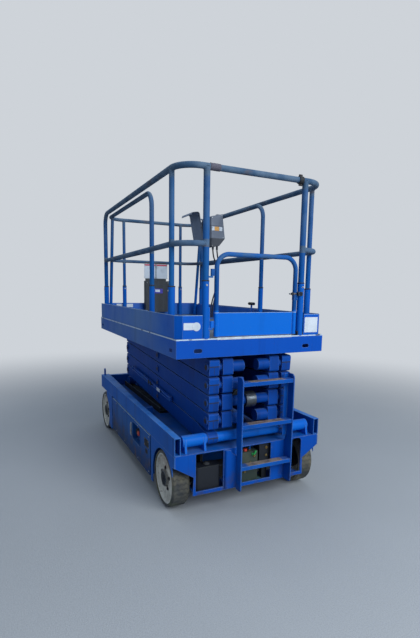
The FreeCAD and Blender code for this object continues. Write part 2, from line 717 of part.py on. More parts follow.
def roller_tracks():
    """Flat bars under the lowest rollers, each with a lip that keeps its roller on it."""
    top = STACK_Z - ROLLER_R - RUN_GAP
    x0 = roller_x(LIFT_TRAVEL) - TRACK_END
    x1 = roller_x(0) + TRACK_END
    bar = box(x0, TRACK_Y0, BEAM_Z0, x1, TRACK_Y1, top)
    lip = box(x0, TRACK_Y1, BEAM_Z0, x1, TRACK_Y1 + TRACK_LIP_T, top + TRACK_LIP)
    return both_sides(fused([bar, lip]))


# Wheels and axles

def turned(outline, x):
    """A ring turned about the wheel's axle line; the outline holds radius and Y."""
    points = [Vector(x, y, WHEEL_R + radius) for radius, y in outline]
    profile = Part.Face(Part.makePolygon(points + points[:1]))
    return profile.revolve(Vector(x, 0, WHEEL_R), Vector(0, 1, 0), 360)


def tyre(x):
    """Solid tyre on the left side, with bevelled shoulders."""
    y0 = WHEEL_BACK_Y
    y1 = WHEEL_FACE_Y
    inner = RIM_R + RUN_GAP
    bevel = TYRE_SHOULDER
    return turned([(inner, y0), (WHEEL_R - bevel, y0), (WHEEL_R, y0 + bevel), (WHEEL_R, y1 - bevel),
                   (WHEEL_R - bevel, y1), (inner, y1)], x)


def rim(x):
    """Dished rim: barrel, disc with a raised lip, and a hub bored for the spindle."""
    y0 = WHEEL_BACK_Y + RIM_INSET
    y1 = WHEEL_FACE_Y - RIM_INSET
    disc0 = RIM_DISC_Y
    disc1 = RIM_DISC_Y + RIM_DISC_T
    bore = SPINDLE_R + RUN_GAP
    barrel = RIM_R - RIM_WALL
    hub = HUB_R
    face = y1 + HUB_PROUD
    back = disc0 - HUB_STEP
    return turned([(bore, back), (hub, back), (hub + HUB_STEP, disc0), (barrel, disc0),
                   (barrel, y0), (RIM_R, y0), (RIM_R, y1), (barrel, y1),
                   (barrel - RIM_DISH, disc1), (hub + HUB_PROUD, disc1), (hub, face), (bore, face)], x)


def spindle(x):
    return across(SPINDLE_R, x, WHEEL_R, MOTOR_Y1 - 1, WHEEL_FACE_Y - RIM_INSET)


def rear_axle():
    """Axle beam hung from the tray, with the drive motor housings and spindles at its ends."""
    x = REAR_AXLE_X
    half = AXLE_BEAM_HALF_X
    top = WHEEL_R + AXLE_BEAM_HALF_H
    parts = [box(x - half, -MOTOR_Y0, WHEEL_R - AXLE_BEAM_HALF_H, x + half, MOTOR_Y0, top)]
    parts += both_sides(across(MOTOR_R, x, WHEEL_R, MOTOR_Y0 - 1, MOTOR_Y1))
    parts += both_sides(spindle(x))
    half = HANGER_HALF_X
    hanger = box(x - half, HANGER_Y, top - 5, x + half, HANGER_Y + HANGER_W, TRAY_Z0)
    return fused(parts + both_sides(hanger))


def front_axle():
    """Axle beam on its subframe, with the forks that hold the kingpins."""
    x = FRONT_AXLE_X
    half = AXLE_BEAM_HALF_X
    parts = [box(x - half, -AXLE_BEAM_HALF_Y, FORK_Z0, x + half, AXLE_BEAM_HALF_Y, FORK_Z1)]
    parts.append(box(x - SUBFRAME_HALF_X, -SUBFRAME_HALF_Y, FORK_Z1,
                     x + SUBFRAME_HALF_X, SUBFRAME_HALF_Y, TRAY_Z0))
    r = KNUCKLE_R + 2
    outline = [(x - half, AXLE_BEAM_HALF_Y - 5), (x + half, AXLE_BEAM_HALF_Y - 5), (x + r, KINGPIN_Y),
               (x + r, KINGPIN_Y + r), (x - r, KINGPIN_Y + r), (x - r, KINGPIN_Y)]
    for z in (FORK_Z0, FORK_Z1 - FORK_T):
        ear = plate_xy(outline, [0, 0, 10, r - 0.5, r - 0.5, 10], z, z + FORK_T)
        bore = upright(KINGPIN_R + RUN_GAP, x, KINGPIN_Y, z - 1, z + FORK_T + 1)
        parts += both_sides(ear.cut(bore))
    return fused(parts)


def knuckle():
    """Left steering knuckle: kingpin, motor housing, spindle, and steering arm with the tie rod's pin."""
    x = FRONT_AXLE_X
    y = KINGPIN_Y
    parts = [upright(KINGPIN_R, x, y, FORK_Z0 - KINGPIN_PROUD, FORK_Z1 + KINGPIN_PROUD)]
    parts.append(upright(KNUCKLE_R, x, y, FORK_Z0 + FORK_T + FORK_GAP, FORK_Z1 - FORK_T - FORK_GAP))
    parts.append(across(MOTOR_R, x, WHEEL_R, MOTOR_Y0, MOTOR_Y1))
    parts.append(across(KNUCKLE_NECK_R, x, WHEEL_R, y - 8, MOTOR_Y0 + 1))
    parts.append(spindle(x))
    half = STEER_ARM_HALF_W
    top = STEER_ARM_Z + STEER_ARM_T
    parts.append(plate_xy(corners(x, y - half, x + STEER_ARM_L + half, y + half), [0, half - 1, half - 1, 0],
                          STEER_ARM_Z, top))
    parts.append(upright(TIE_ROD_PIN_R, x + STEER_ARM_L, y, top - 1, top + TIE_ROD_EYE_H + KINGPIN_PROUD))
    return fused(parts)


def tie_rod():
    """Bar between the two steering arms, with an eye on each arm's pin."""
    x = FRONT_AXLE_X + STEER_ARM_L
    z0 = STEER_ARM_Z + STEER_ARM_T + RUN_GAP
    z1 = z0 + TIE_ROD_EYE_H
    reach = KINGPIN_Y - TIE_ROD_PIN_R - 3
    rod = fused([across(TIE_ROD_R, x, (z0 + z1) / 2, -reach, reach)]
                + both_sides(upright(TIE_ROD_EYE_R, x, KINGPIN_Y, z0, z1)))
    bore = upright(TIE_ROD_PIN_R + RUN_GAP, x, KINGPIN_Y, z0 - 1, z1 + 1)
    return rod.cut(bore).cut(mirrored(bore))


# Swing-out modules

def module_door():
    """Left module door: skin with a turned top lip, a recess for the charger plug and hinge barrels."""
    y1 = CHASSIS_HALF_W
    y0 = y1 - DOOR_T
    skin = plate_xz(corners(MODULE_X0, MODULE_Z0, MODULE_X1, MODULE_Z1), [MODULE_CORNER_R] * 4, y0, y1)
    lip = box(MODULE_X0 + MODULE_CORNER_R, y0 - DOOR_LIP, MODULE_Z1 - DOOR_LIP_T,
              MODULE_X1 - MODULE_CORNER_R, y0 + 1, MODULE_Z1)
    x0 = RECESS_X0
    x1 = RECESS_X0 + RECESS_L
    z0 = RECESS_Z0
    z1 = RECESS_Z0 + RECESS_H
    wall = RECESS_WALL
    pocket = box(x0 - wall, y1 - RECESS_DEPTH - wall, z0 - wall, x1 + wall, y0 + 1, z1 + wall)
    hollow = plate_xz(corners(x0, z0, x1, z1), [RECESS_R] * 4, y1 - RECESS_DEPTH, y1 + 1)
    parts = [fused([skin, lip, pocket]).cut(hollow)]
    for z in MODULE_HINGES_Z:
        barrel = upright(MODULE_HINGE_R, MODULE_HINGE_X, MODULE_HINGE_Y, z, z + MODULE_HINGE_H)
        leaf = box(MODULE_X1 - MODULE_LEAF, MODULE_HINGE_Y, z, MODULE_HINGE_X, y0 + 1, z + MODULE_HINGE_H)
        bore = upright(MODULE_PIN_R + RUN_GAP, MODULE_HINGE_X, MODULE_HINGE_Y, z, z + MODULE_HINGE_H)
        parts.append(fused([barrel, leaf]).cut(bore))
    return fused(parts)


def module_tray(units, gap):
    """Left tray behind a door, with a row of equal units on it."""
    y1 = CHASSIS_HALF_W - DOOR_T - RUN_GAP
    y0 = CHASSIS_HALF_W - MODULE_DEPTH
    z0 = MODULE_Z0 + TRAY_LIFT
    z1 = z0 + TRAY_T
    x0 = MODULE_X0 + TRAY_END
    x1 = MODULE_X1 - 2 * TRAY_END
    parts = [box(x0, y0, z0, x1, y1, z1)]
    step = (x1 - x0 - 2 * UNIT_END + gap) / units
    recess_y = CHASSIS_HALF_W - RECESS_DEPTH - RECESS_WALL
    for unit in range(units):
        start = x0 + UNIT_END + unit * step
        parts.append(box(start, y0 + UNIT_SIDE_GAP, z1 - 1, start + step - gap,
                         recess_y - UNIT_SIDE_GAP, MODULE_Z1 - UNIT_TOP_GAP))
    return fused(parts)


def module_hinges():
    """Hinge posts on the chassis, above and below each barrel of the module doors, with the pin between."""
    parts = []
    x = MODULE_HINGE_X
    y = MODULE_HINGE_Y
    for z in MODULE_HINGES_Z:
        top = z + MODULE_HINGE_H + RUN_GAP
        pieces = [upright(MODULE_PIN_R, x, y, z - 5, top + 5)]
        for z0, z1 in ((z - RUN_GAP - MODULE_POST_H, z - RUN_GAP), (top, top + MODULE_POST_H)):
            pieces.append(upright(MODULE_HINGE_R, x, y, z0, z1))
            pieces.append(box(x, y - MODULE_POST_T, z0, STAY_X0 - RUN_GAP, y, z1))
        parts.append(fused(pieces))
    return parts + [mirrored(piece) for piece in parts]


# Scissor arms

def arm(y0, y1, front_r=ARM_END_R, boss=False):
    """One arm along X, from its rear pivot at x = 0 to its front pivot at x = ARM_L.

    With a boss, its rear end narrows to a round eye instead of the square one.
    """
    half = ARM_H / 2
    outline = [(ARM_L + ARM_END, -half), (ARM_L + ARM_END, half)]
    radii = [front_r] * 2
    if boss:
        neck, body = BOSS_TAPER_X
        outline += [(body, half), (neck, BOSS_R), (-BOSS_R, BOSS_R), (-BOSS_R, -BOSS_R), (neck, -BOSS_R),
                    (body, -half)]
        radii += [BOSS_TAPER_BEND] * 2 + [BOSS_R - 0.1] * 2 + [BOSS_TAPER_BEND] * 2
    else:
        outline += [(-ARM_END, half), (-ARM_END, -half)]
        radii += [ARM_END_R] * 2
    return plate_xz(outline, radii, y0, y1)


def stub(x, reach):
    """Pin from an inner arm through the outer one, with its spacer and head."""
    parts = [across(PIN_R, x, 0, INNER_Y1 - 5, reach + PIN_HEAD_T)]
    parts.append(across(SPACER_R, x, 0, INNER_Y1 - 1, OUTER_Y0 - SIDE_GAP))
    parts.append(across(PIN_HEAD_R, x, 0, reach, reach + PIN_HEAD_T))
    return fused(parts)


def in_stack(shape, pivot_row, angle):
    """Put a shape made about a rear pivot at the origin into the stack."""
    shape.rotate(Vector(0, 0, 0), Vector(0, 1, 0), math.degrees(angle))
    shape.translate(Vector(STACK_X, 0, STACK_Z + pivot_row * PITCH))
    return shape


def outer_arms(level):
    """Left and right outer arms of a pair; they rise towards the front."""
    lowest = level == 1
    highest = level == PAIRS
    solid = arm(OUTER_Y0, OUTER_Y1, boss=lowest)
    pivots = [(0, PIVOT_TUBE_R if lowest else PIN_R), (ARM_L / 2, PIN_R)]
    if not highest:
        pivots.append((ARM_L, PIN_R))
    for x, radius in pivots:
        solid = solid.cut(across(radius + RUN_GAP, x, 0, OUTER_Y0 - 1, OUTER_Y1 + 1))
    if highest:
        axle = across(PIN_R, ARM_L, 0, OUTER_Y1 - 5, DECK_ROLLER_Y1)
        roller = across(DECK_ROLLER_R, ARM_L, 0, DECK_ROLLER_Y0, DECK_ROLLER_Y1)
        solid = fused([solid, axle, roller])
    return [in_stack(piece, level - 1, -STOWED) for piece in both_sides(solid)]


def inner_arms(level):
    """Welded inner pair: two arms, the cross tube at the front, tube stubs at the rear and every pin.

    The pair that the lift cylinder pushes has a whole tube at the rear, and the lowest pair holds its foot.
    """
    lowest = level == 1
    parts = both_sides(arm(INNER_Y0, INNER_Y1, front_r=LOW_END_R if lowest else ARM_END_R))
    parts.append(across(CROSS_TUBE_R, ARM_L, 0, -INNER_Y0 - 1, INNER_Y0 + 1))
    if level == RAM_LEVEL:
        parts.append(across(CROSS_TUBE_R, 0, 0, -INNER_Y0 - 1, INNER_Y0 + 1))
    else:
        parts += both_sides(across(STUB_TUBE_R, 0, 0, STUB_TUBE_Y, INNER_Y0 + 1))
    reach = OUTER_Y1 + SIDE_GAP
    sides = [stub(ARM_L / 2, reach)]
    sides.append(stub(0, BRACKET_Y0 + BRACKET_T + SIDE_GAP if level == PAIRS else reach))
    if lowest:
        axle = across(PIN_R, ARM_L, 0, INNER_Y1 - 5, ROLLER_Y1)
        roller = across(ROLLER_R, ARM_L, 0, ROLLER_Y0, ROLLER_Y1)
        sides.append(fused([axle, roller]))
        parts.append(across(RAM_PIN_R, ARM_L - RAM_FOOT, 0, -INNER_Y0 - 1, INNER_Y0 + 1))
    else:
        sides.append(stub(ARM_L, reach))
    for side in sides:
        parts += both_sides(side)
    return in_stack(fused(parts), level, STOWED)


def maintenance_brace():
    """Safety bar stowed along the left outer arm of the second pair, on two lugs."""
    z0 = -BRACE_DROP - BRACE_H / 2
    z1 = z0 + BRACE_H
    bar = box(BRACE_X0, BRACE_Y0, z0, BRACE_X1, BRACE_Y1, z1)
    channel = box(BRACE_X0 + BRACE_END, BRACE_Y0 + BRACE_WALL, z0 + BRACE_WALL,
                  BRACE_X1 - BRACE_END, BRACE_Y1 + 1, z1 - BRACE_WALL)
    parts = [bar.cut(channel)]
    for x in (BRACE_X0 + BRACE_LUG_W, BRACE_X1 - 2 * BRACE_LUG_W):
        parts.append(box(x, OUTER_Y1 + RUN_GAP, z0 + 4, x + BRACE_LUG_W, BRACE_Y0 + 1, z1 - 4))
    return in_stack(fused(parts), 1, -STOWED)


# Lift cylinder

def ram_ends(lift):
    """Foot pin on the first inner arms and eye pin at the second pair's rear pivot."""
    angle = STOWED + lift
    foot = Vector(STACK_X + (ARM_L - RAM_FOOT) * math.cos(angle), 0, STACK_Z + RAM_FOOT * math.sin(angle))
    eye = Vector(STACK_X, 0, STACK_Z + RAM_LEVEL * ARM_L * math.sin(angle))
    return foot, eye


def ram_length(lift):
    foot, eye = ram_ends(lift)
    return (eye - foot).Length


def ram_barrel_length():
    return ram_length(0) - RAM_EYE_R - RAM_SHOWN_ROD


def ram_frame(shape):
    """Turn a shape made along X from the foot pin into the stowed cylinder's line."""
    foot, eye = ram_ends(0)
    line = eye - foot
    shape.rotate(Vector(0, 0, 0), Vector(0, 1, 0), -math.degrees(math.atan2(line.z, line.x)))
    shape.translate(foot)
    return shape


def lift_cylinder_barrel():
    half = RAM_EYE_HALF_Y
    length = ram_barrel_length()
    body = cylinder(RAM_BARREL_R, Vector(RAM_EYE_R - 20, 0, 0), Vector(length, 0, 0))
    gland = cylinder(RAM_GLAND_R, Vector(length - RAM_GLAND_L, 0, 0), Vector(length, 0, 0))
    bore = cylinder(RAM_ROD_R + RUN_GAP, Vector(RAM_BORE_X0, 0, 0), Vector(length + 1, 0, 0))
    foot = across(RAM_EYE_R - 6, 0, 0, -half, half)
    port = box(RAM_PORT_X0, -RAM_PORT_HALF, RAM_BARREL_R - 10,
               RAM_PORT_X0 + RAM_PORT_L, RAM_PORT_HALF, RAM_BARREL_R + RAM_PORT_H)
    solid = fused([body, gland, foot, port]).cut(bore)
    return ram_frame(solid.cut(across(RAM_PIN_R + RUN_GAP, 0, 0, -half - 1, half + 1)))


def lift_cylinder_rod():
    half = RAM_EYE_HALF_Y
    length = ram_length(0)
    rod = cylinder(RAM_ROD_R, Vector(RAM_BORE_X0 + RAM_END_GAP, 0, 0), Vector(length - RAM_EYE_R + 15, 0, 0))
    eye = across(RAM_EYE_R, length, 0, -half, half)
    return ram_frame(fused([rod, eye]).cut(across(CROSS_TUBE_R + RUN_GAP, length, 0, -half - 1, half + 1)))


# Platform

def deck_frame():
    """Skirt all round under the floor, with its lower lip and oval slots."""
    outer = box(DECK_X0, -DECK_HALF_W, SKIRT_Z0, DECK_X1, DECK_HALF_W, FLOOR_Z - FLOOR_T)
    inside = box(DECK_X0 + SKIRT_T, -DECK_HALF_W + SKIRT_T, SKIRT_Z0 + SKIRT_T,
                 DECK_X1 - SKIRT_T, DECK_HALF_W - SKIRT_T, FLOOR_Z)
    opening = box(DECK_X0 + SKIRT_T, -DECK_HALF_W + SKIRT_LIP, SKIRT_Z0 - 1,
                  DECK_X1 - SKIRT_T, DECK_HALF_W - SKIRT_LIP, SKIRT_Z0 + SKIRT_T + 1)
    skirt = outer.cut(inside).cut(opening)
    for y in (REAR_SLOTS_Y, -REAR_SLOTS_Y):
        skirt = skirt.cut(slot_through_x(y, SLOT_Z, DECK_X0 - 1, DECK_X0 + SKIRT_T + 1))
    for x in (SIDE_SLOT_X, -SIDE_SLOT_X):
        skirt = skirt.cut(slot_through_y(x, SLOT_Z, -DECK_HALF_W - 1, DECK_HALF_W + 1))
    return skirt


def deck_channels():
    """Channels for the upper rollers, joined by a crossbar, and the brackets of the upper rear pivots."""
    under = FLOOR_Z - FLOOR_T
    half = DECK_ROLLER_R + RUN_GAP
    x0 = DECK_X0 + SKIRT_T
    x1 = DECK_X1 - SKIRT_T
    low_z = STACK_TOP_Z - half - CHANNEL_T
    web = box(x0, CHANNEL_Y1 - CHANNEL_T, low_z, x1, CHANNEL_Y1, under)
    low = box(roller_x(LIFT_TRAVEL) - TRACK_END, CHANNEL_Y0, low_z, x1, CHANNEL_Y1, low_z + CHANNEL_T)
    high = box(x0, CHANNEL_Y0, STACK_TOP_Z + half, x1, CHANNEL_Y1, STACK_TOP_Z + half + CHANNEL_T)
    parts = both_sides(fused([web, low, high]))
    reach = CHANNEL_Y1 - 1
    parts.append(box(CROSSBAR_X0, -reach, STACK_TOP_Z, CROSSBAR_X0 + CROSSBAR_W, reach, under))
    eye = BRACKET_EYE
    bracket = plate_xz([(STACK_X - BRACKET_REAR, under), (STACK_X - eye, STACK_TOP_Z - eye),
                        (STACK_X + eye, STACK_TOP_Z - eye), (STACK_X + BRACKET_FRONT, under)],
                       [0, eye - 2, eye - 2, 0], BRACKET_Y0, BRACKET_Y0 + BRACKET_T)
    bore = across(PIN_R + RUN_GAP, STACK_X, STACK_TOP_Z, BRACKET_Y0 - 1, BRACKET_Y0 + BRACKET_T + 1)
    return [fused(parts)] + both_sides(bracket.cut(bore))


def deck_floor():
    return box(DECK_X0, -DECK_HALF_W, FLOOR_Z - FLOOR_T, DECK_X1, DECK_HALF_W, FLOOR_Z)


def toe_boards():
    """Toe boards along both sides, turned across the chamfered rear corners to the gate's posts."""
    y1 = DECK_HALF_W - TOE_INSET
    x0 = TOE_X0
    x1 = TOE_X1
    pieces = []
    for post_y in (REAR_POST_LEFT_Y, REAR_POST_RIGHT_Y):
        side = math.copysign(1, post_y)
        end_y = post_y + side * (SOCKET_R + 2)
        outer = [(x0, end_y), (x0, side * (y1 - TOE_CORNER)), (x0 + TOE_CORNER, side * y1), (x1, side * y1)]
        inner = [(x1, side * (y1 - TOE_T)), (x0 + TOE_CORNER + 1, side * (y1 - TOE_T)),
                 (x0 + TOE_T, side * (y1 - TOE_CORNER - 1)), (x0 + TOE_T, end_y)]
        pieces.append(plate_xy(outer + inner, [0] * 8, FLOOR_Z, TOE_TOP_Z))
    return pieces


def post_plate():
    """Narrow plate that closes the gap between the gate's hinges and the left rear post."""
    half = POST_PLATE_T / 2
    return box(RAIL_REAR_X - half, HINGE_Y + HINGE_R + 2, FLOOR_Z,
               RAIL_REAR_X + half, REAR_POST_LEFT_Y - SOCKET_R / 2, POST_PLATE_Z)


def gate_hinge_pins():
    """Hinge pins on the gate post, each standing on a small arm below its barrel."""
    parts = []
    x = RAIL_REAR_X
    for z in GATE_HINGES_Z:
        z0 = z - 1 - HINGE_LEDGE_H
        pin = upright(HINGE_PIN_R, x, HINGE_Y, z0, z + HINGE_H - 4)
        ledge = box(x - HINGE_R, HINGE_Y - HINGE_R, z0, x + HINGE_R, REAR_POST_LEFT_Y - SOCKET_R + 6, z - 1)
        parts.append(fused([pin, ledge]))
    return parts


def hoop(x0, x1, y, foot, top, radius):
    """A rail that rises at x0, runs to x1, crosses to the other side there and comes back down at x0."""
    points = [Vector(x0, y, foot), Vector(x0, y, top), Vector(x1, y, top),
              Vector(x1, -y, top), Vector(x0, -y, top), Vector(x0, -y, foot)]
    return tube_along(points, [FRONT_BEND_R, CORNER_R, CORNER_R, FRONT_BEND_R], radius)


def guardrail_top():
    """Bent tube that stands on the front left of the deck, runs right round the rear and down again."""
    return hoop(RAIL_FRONT_X, RAIL_REAR_X, RAIL_Y, FLOOR_Z, TOP_RAIL_Z, RAIL_R)


def rear_posts():
    """The two posts beside the gate in their sockets, with the post plate and the gate's hinge pins."""
    top = guardrail_top()
    pieces = []
    for post_y in (REAR_POST_LEFT_Y, REAR_POST_RIGHT_Y):
        group = [upright(REAR_POST_R, RAIL_REAR_X, post_y, FLOOR_Z, TOP_RAIL_Z - SADDLE),
                 upright(SOCKET_R, RAIL_REAR_X, post_y, FLOOR_Z, SOCKET_REAR_Z)]
        if post_y > 0:
            group += [post_plate()] + gate_hinge_pins()
        pieces.append(fused(group).cut(top))
    return pieces


def guardrail_mid():
    """Mid rails, from the top rail's front feet round the rear corners to the rear posts."""
    ends = Part.makeCompound([guardrail_top()] + rear_posts())
    rails = []
    for post_y in (REAR_POST_LEFT_Y, REAR_POST_RIGHT_Y):
        y = math.copysign(RAIL_Y, post_y)
        rail = tube_along([Vector(RAIL_FRONT_X, y, MID_RAIL_Z), Vector(RAIL_REAR_X, y, MID_RAIL_Z),
                           Vector(RAIL_REAR_X, post_y, MID_RAIL_Z)], [CORNER_R], MID_RAIL_R)
        rails.append(rail.cut(ends))
    return rails


def guardrail_posts():
    """Every post in its socket, and the sleeves round the top rail's feet; the side posts meet both rails."""
    rails = Part.makeCompound([guardrail_top()] + guardrail_mid())
    pieces = rear_posts()
    for y in (RAIL_Y, -RAIL_Y):
        side = fused([upright(SIDE_POST_R, RAIL_SIDE_X, y, FLOOR_Z, TOP_RAIL_Z),
                      upright(SOCKET_R, RAIL_SIDE_X, y, FLOOR_Z, SOCKET_SIDE_Z)])
        foot = upright(SOCKET_R, RAIL_FRONT_X, y, FLOOR_Z, SOCKET_SIDE_Z)
        pieces += [side.cut(rails), foot.cut(rails)]
    return pieces


def gate():
    """Swing gate: tube hoop, lower panel, hinge barrels and the latch block."""
    x = RAIL_REAR_X
    half = GATE_PANEL_T / 2
    frame = tube_along([Vector(x, GATE_Y1, GATE_LOW_Z), Vector(x, GATE_Y1, GATE_TOP_Z),
                        Vector(x, GATE_Y0, GATE_TOP_Z), Vector(x, GATE_Y0, GATE_LOW_Z)],
                       [GATE_BEND_R, GATE_BEND_R], GATE_R)
    parts = [frame, box(x - half, GATE_Y0, GATE_LOW_Z, x + half, GATE_Y1, GATE_PANEL_Z)]
    for z in GATE_HINGES_Z:
        barrel = upright(HINGE_R, x, HINGE_Y, z, z + HINGE_H)
        leaf = box(x - HINGE_LEAF_HALF, GATE_Y1 + GATE_R - 4, z, x + HINGE_LEAF_HALF, HINGE_Y, z + HINGE_H)
        bore = upright(HINGE_PIN_R + RUN_GAP, x, HINGE_Y, z - 1, z + HINGE_H + 1)
        parts.append(fused([barrel, leaf]).cut(bore))
    parts.append(box(x - LATCH_HALF_X, GATE_Y0 - GATE_R - 2, LATCH_Z,
                     x + LATCH_HALF_X, GATE_Y0 + 12, LATCH_Z + LATCH_H))
    return fused(parts)


# Extension deck

def cable_points(name):
    """Route of a cable that hangs in a slack bow from its gland down to its grommet, at even steps down."""
    along, offsets = CABLES[name]
    low = EXT_Z0 + EXT_T + GROMMET_H
    step = (CABLE_TOP_Z - low) / (len(offsets) - 1)
    return [Vector(CONTROL_X0 + along, offset - EXT_RAIL_Y, CABLE_TOP_Z - step * index)
            for index, offset in enumerate(offsets)]


def cable(name):
    """Round cable whose bends are as wide as its runs allow."""
    points = cable_points(name)
    bends = []
    for before, corner, after in zip(points, points[1:], points[2:]):
        turn = (corner - before).getAngle(after - corner)
        run = min((corner - before).Length, (after - corner).Length)
        bends.append(0.45 * run / math.tan(turn / 2))
    length = rounded_path(points, bends).Length
    solid = tube_along(points, bends, CABLE_R)
    straight = math.pi * CABLE_R ** 2 * length
    print(name, "length", round(length), "bend radii", [round(bend) for bend in bends])
    print(name, "volume over section times length", round(solid.Volume / straight, 5))
    return solid


def slide_lock():
    """Pull handle of the extension's lock, on a post at the right rear of its deck."""
    y = EXT_SOCKET_R - EXT_RAIL_Y
    z0 = EXT_Z0 + EXT_T - 1
    half = LOCK_POST_T / 2
    post = box(LOCK_X - half, y - half, z0, LOCK_X + half, y + half, LOCK_Z)
    grip = cylinder(LOCK_R, Vector(LOCK_X - LOCK_HALF_L, y, LOCK_Z), Vector(LOCK_X + LOCK_HALF_L, y, LOCK_Z))
    return fused([post, grip])


def extension_deck():
    """Sliding deck plate with its toe boards, the slide pads under it, its lock and the cable grommets."""
    top = EXT_Z0 + EXT_T
    parts = [box(EXT_X0, -EXT_HALF_W, EXT_Z0, EXT_X1, EXT_HALF_W, top)]
    y1 = EXT_HALF_W - 1
    parts += both_sides(box(EXT_TOE_X0, y1 - TOE_T, top - 1, EXT_X1, y1, EXT_TOE_Z))
    parts.append(box(EXT_X1 - TOE_T, -y1, EXT_Z0, EXT_X1, y1, EXT_FRONT_TOE_Z))
    for x0 in EXT_PADS_X:
        pad = box(x0, EXT_PAD_Y, FLOOR_Z + RUN_GAP, x0 + EXT_PAD_L, EXT_PAD_Y + EXT_PAD_W, EXT_Z0 + 1)
        parts += both_sides(pad)
    parts.append(slide_lock())
    for name in CABLES:
        end = cable_points(name)[-1]
        parts.append(upright(GROMMET_R, end.x, end.y, top - 1, end.z))
    return fused(parts)


def extension_rails():
    """Rails that roll out with the deck: a U-shaped top and mid rail, posts and leaning braces."""
    low = EXT_Z0 + EXT_T + RUN_GAP
    y = EXT_RAIL_Y
    parts = [hoop(EXT_POST_X, EXT_FRONT_X, y, low, EXT_TOP_Z, EXT_RAIL_R)]
    parts.append(tube_along([Vector(EXT_POST_X, y, EXT_MID_Z), Vector(EXT_FRONT_X, y, EXT_MID_Z),
                             Vector(EXT_FRONT_X, -y, EXT_MID_Z), Vector(EXT_POST_X, -y, EXT_MID_Z)],
                            [CORNER_R, CORNER_R], EXT_MID_R))
    for side in (1, -1):
        front_y = side * EXT_FRONT_POST_Y
        parts.append(cylinder(EXT_BRACE_R, Vector(EXT_BRACE_LOW_X, side * y, low + EXT_FOOT_H / 2),
                              Vector(EXT_BRACE_TOP_X, side * y, EXT_TOP_Z)))
        parts.append(upright(EXT_SOCKET_R, EXT_BRACE_LOW_X, side * y, low, low + EXT_FOOT_H))
        parts.append(upright(EXT_SOCKET_R, EXT_POST_X, side * y, low, EXT_SOCKET_Z))
        parts.append(upright(EXT_BRACE_R, EXT_FRONT_X, front_y, low, EXT_TOP_Z))
        parts.append(upright(EXT_SOCKET_R, EXT_FRONT_X, front_y, low, EXT_SOCKET_Z))
    return fused(parts)


def from_rail(outline):
    """Outline points given from the right rail's line, as machine Y and Z."""
    return [(y - EXT_RAIL_Y, EXT_TOP_Z + z) for y, z in outline]


def strap(x, reach):
    """Flat strap over the right rail, turned down on its outer side."""
    seat = EXT_TOP_Z + EXT_RAIL_R + RUN_GAP
    inner_y = -EXT_RAIL_Y - EXT_RAIL_R - 2
    outer_y = inner_y - STRAP_T
    over = box(x, outer_y, seat, x + STRAP_W, reach - EXT_RAIL_Y, seat + STRAP_T)
    down = box(x, outer_y, EXT_TOP_Z - STRAP_DROP, x + STRAP_W, inner_y, seat + STRAP_T)
    return fused([over, down])


def control_box():
    """Control unit hung on the right rail: deep housing, rolled hood ahead of it, joystick and glands."""
    x0 = CONTROL_X0
    x1 = CONTROL_X0 + CONTROL_L
    body = plate_yz(from_rail(HOUSING_OUTLINE), [0, 0] + [CONTROL_EDGE_R] * 4, x0, x1)
    line = rounded_path([Vector(x1 - HOOD_LAP, y, z) for y, z in from_rail(HOOD_OUTLINE)],
                        [HOOD_BEND_R, HOOD_BEND_R])
    hood = line.makeOffset2D(HOOD_T, 0, True, True).extrude(Vector(HOOD_LAP + HOOD_L, 0, 0))
    stick = Vector(JOYSTICK_X, JOYSTICK_Y, JOYSTICK_Z)
    parts = [body, hood, cylinder(JOYSTICK_R, stick, stick + Vector(*JOYSTICK_SLOPE) * JOYSTICK_L)]
    parts.append(strap(x0 + STRAP_END, STRAP_REACH))
    parts.append(strap(x1 + HOOD_L - STRAP_END, HOOD_STRAP_REACH))
    underside = EXT_TOP_Z + HOUSING_OUTLINE[3][1]
    for name in CABLES:
        start = cable_points(name)[0]
        parts.append(upright(GLAND_R, start.x, start.y, start.z + GLAND_GAP, underside + GLAND_R))
    return fused(parts)


def sign_panels():
    """Two blank panels side by side behind the front mid rail."""
    x1 = EXT_FRONT_X - EXT_MID_R - HANGER_T - 2 * RUN_GAP
    return [box(x1 - SIGN_T, y0, SIGN_Z0, x1, y0 + SIGN_W, SIGN_Z1)
            for y0 in (DOCUMENT_Y0, DOCUMENT_Y0 + SIGN_W + SIGN_GAP)]


def document_box():
    """Open-topped box for the papers, hung from the front mid rail."""
    x1 = EXT_FRONT_X - EXT_MID_R - RUN_GAP
    x0 = x1 - DOCUMENT_DEPTH
    y0 = DOCUMENT_Y0
    y1 = DOCUMENT_Y1
    wall = DOCUMENT_WALL
    shell = box(x0, y0, DOCUMENT_Z0, x1, y1, DOCUMENT_Z1)
    hollow = box(x0 + wall, y0 + wall, DOCUMENT_Z0 + wall, x1 - wall, y1 - wall, DOCUMENT_Z1 + 1)
    hanger = box(x1 - HANGER_T, y0 + HANGER_END, DOCUMENT_Z1 - HANGER_LAP, x1, y1 - HANGER_END, EXT_MID_Z)
    return fused([shell.cut(hollow), hanger])


def save(node, shapes):
    """Write one sub-part, moved under the overall middle, and check its solids."""
    shapes = shapes if isinstance(shapes, list) else [shapes]
    solids = []
    for shape in shapes:
        moved = shape.copy()
        moved.translate(Vector(MOVE_X, 0, 0))
        solids += moved.Solids
    for solid in solids:
        if not solid.isValid() or solid.Volume <= 0:
            print("invalid solid in", node)
    whole = solids[0] if len(solids) == 1 else Part.makeCompound(solids)
    whole.exportStep(f"parts/{node}.step")
    print(node, len(solids), round(sum(s.Volume for s in solids) / 1e6, 2))


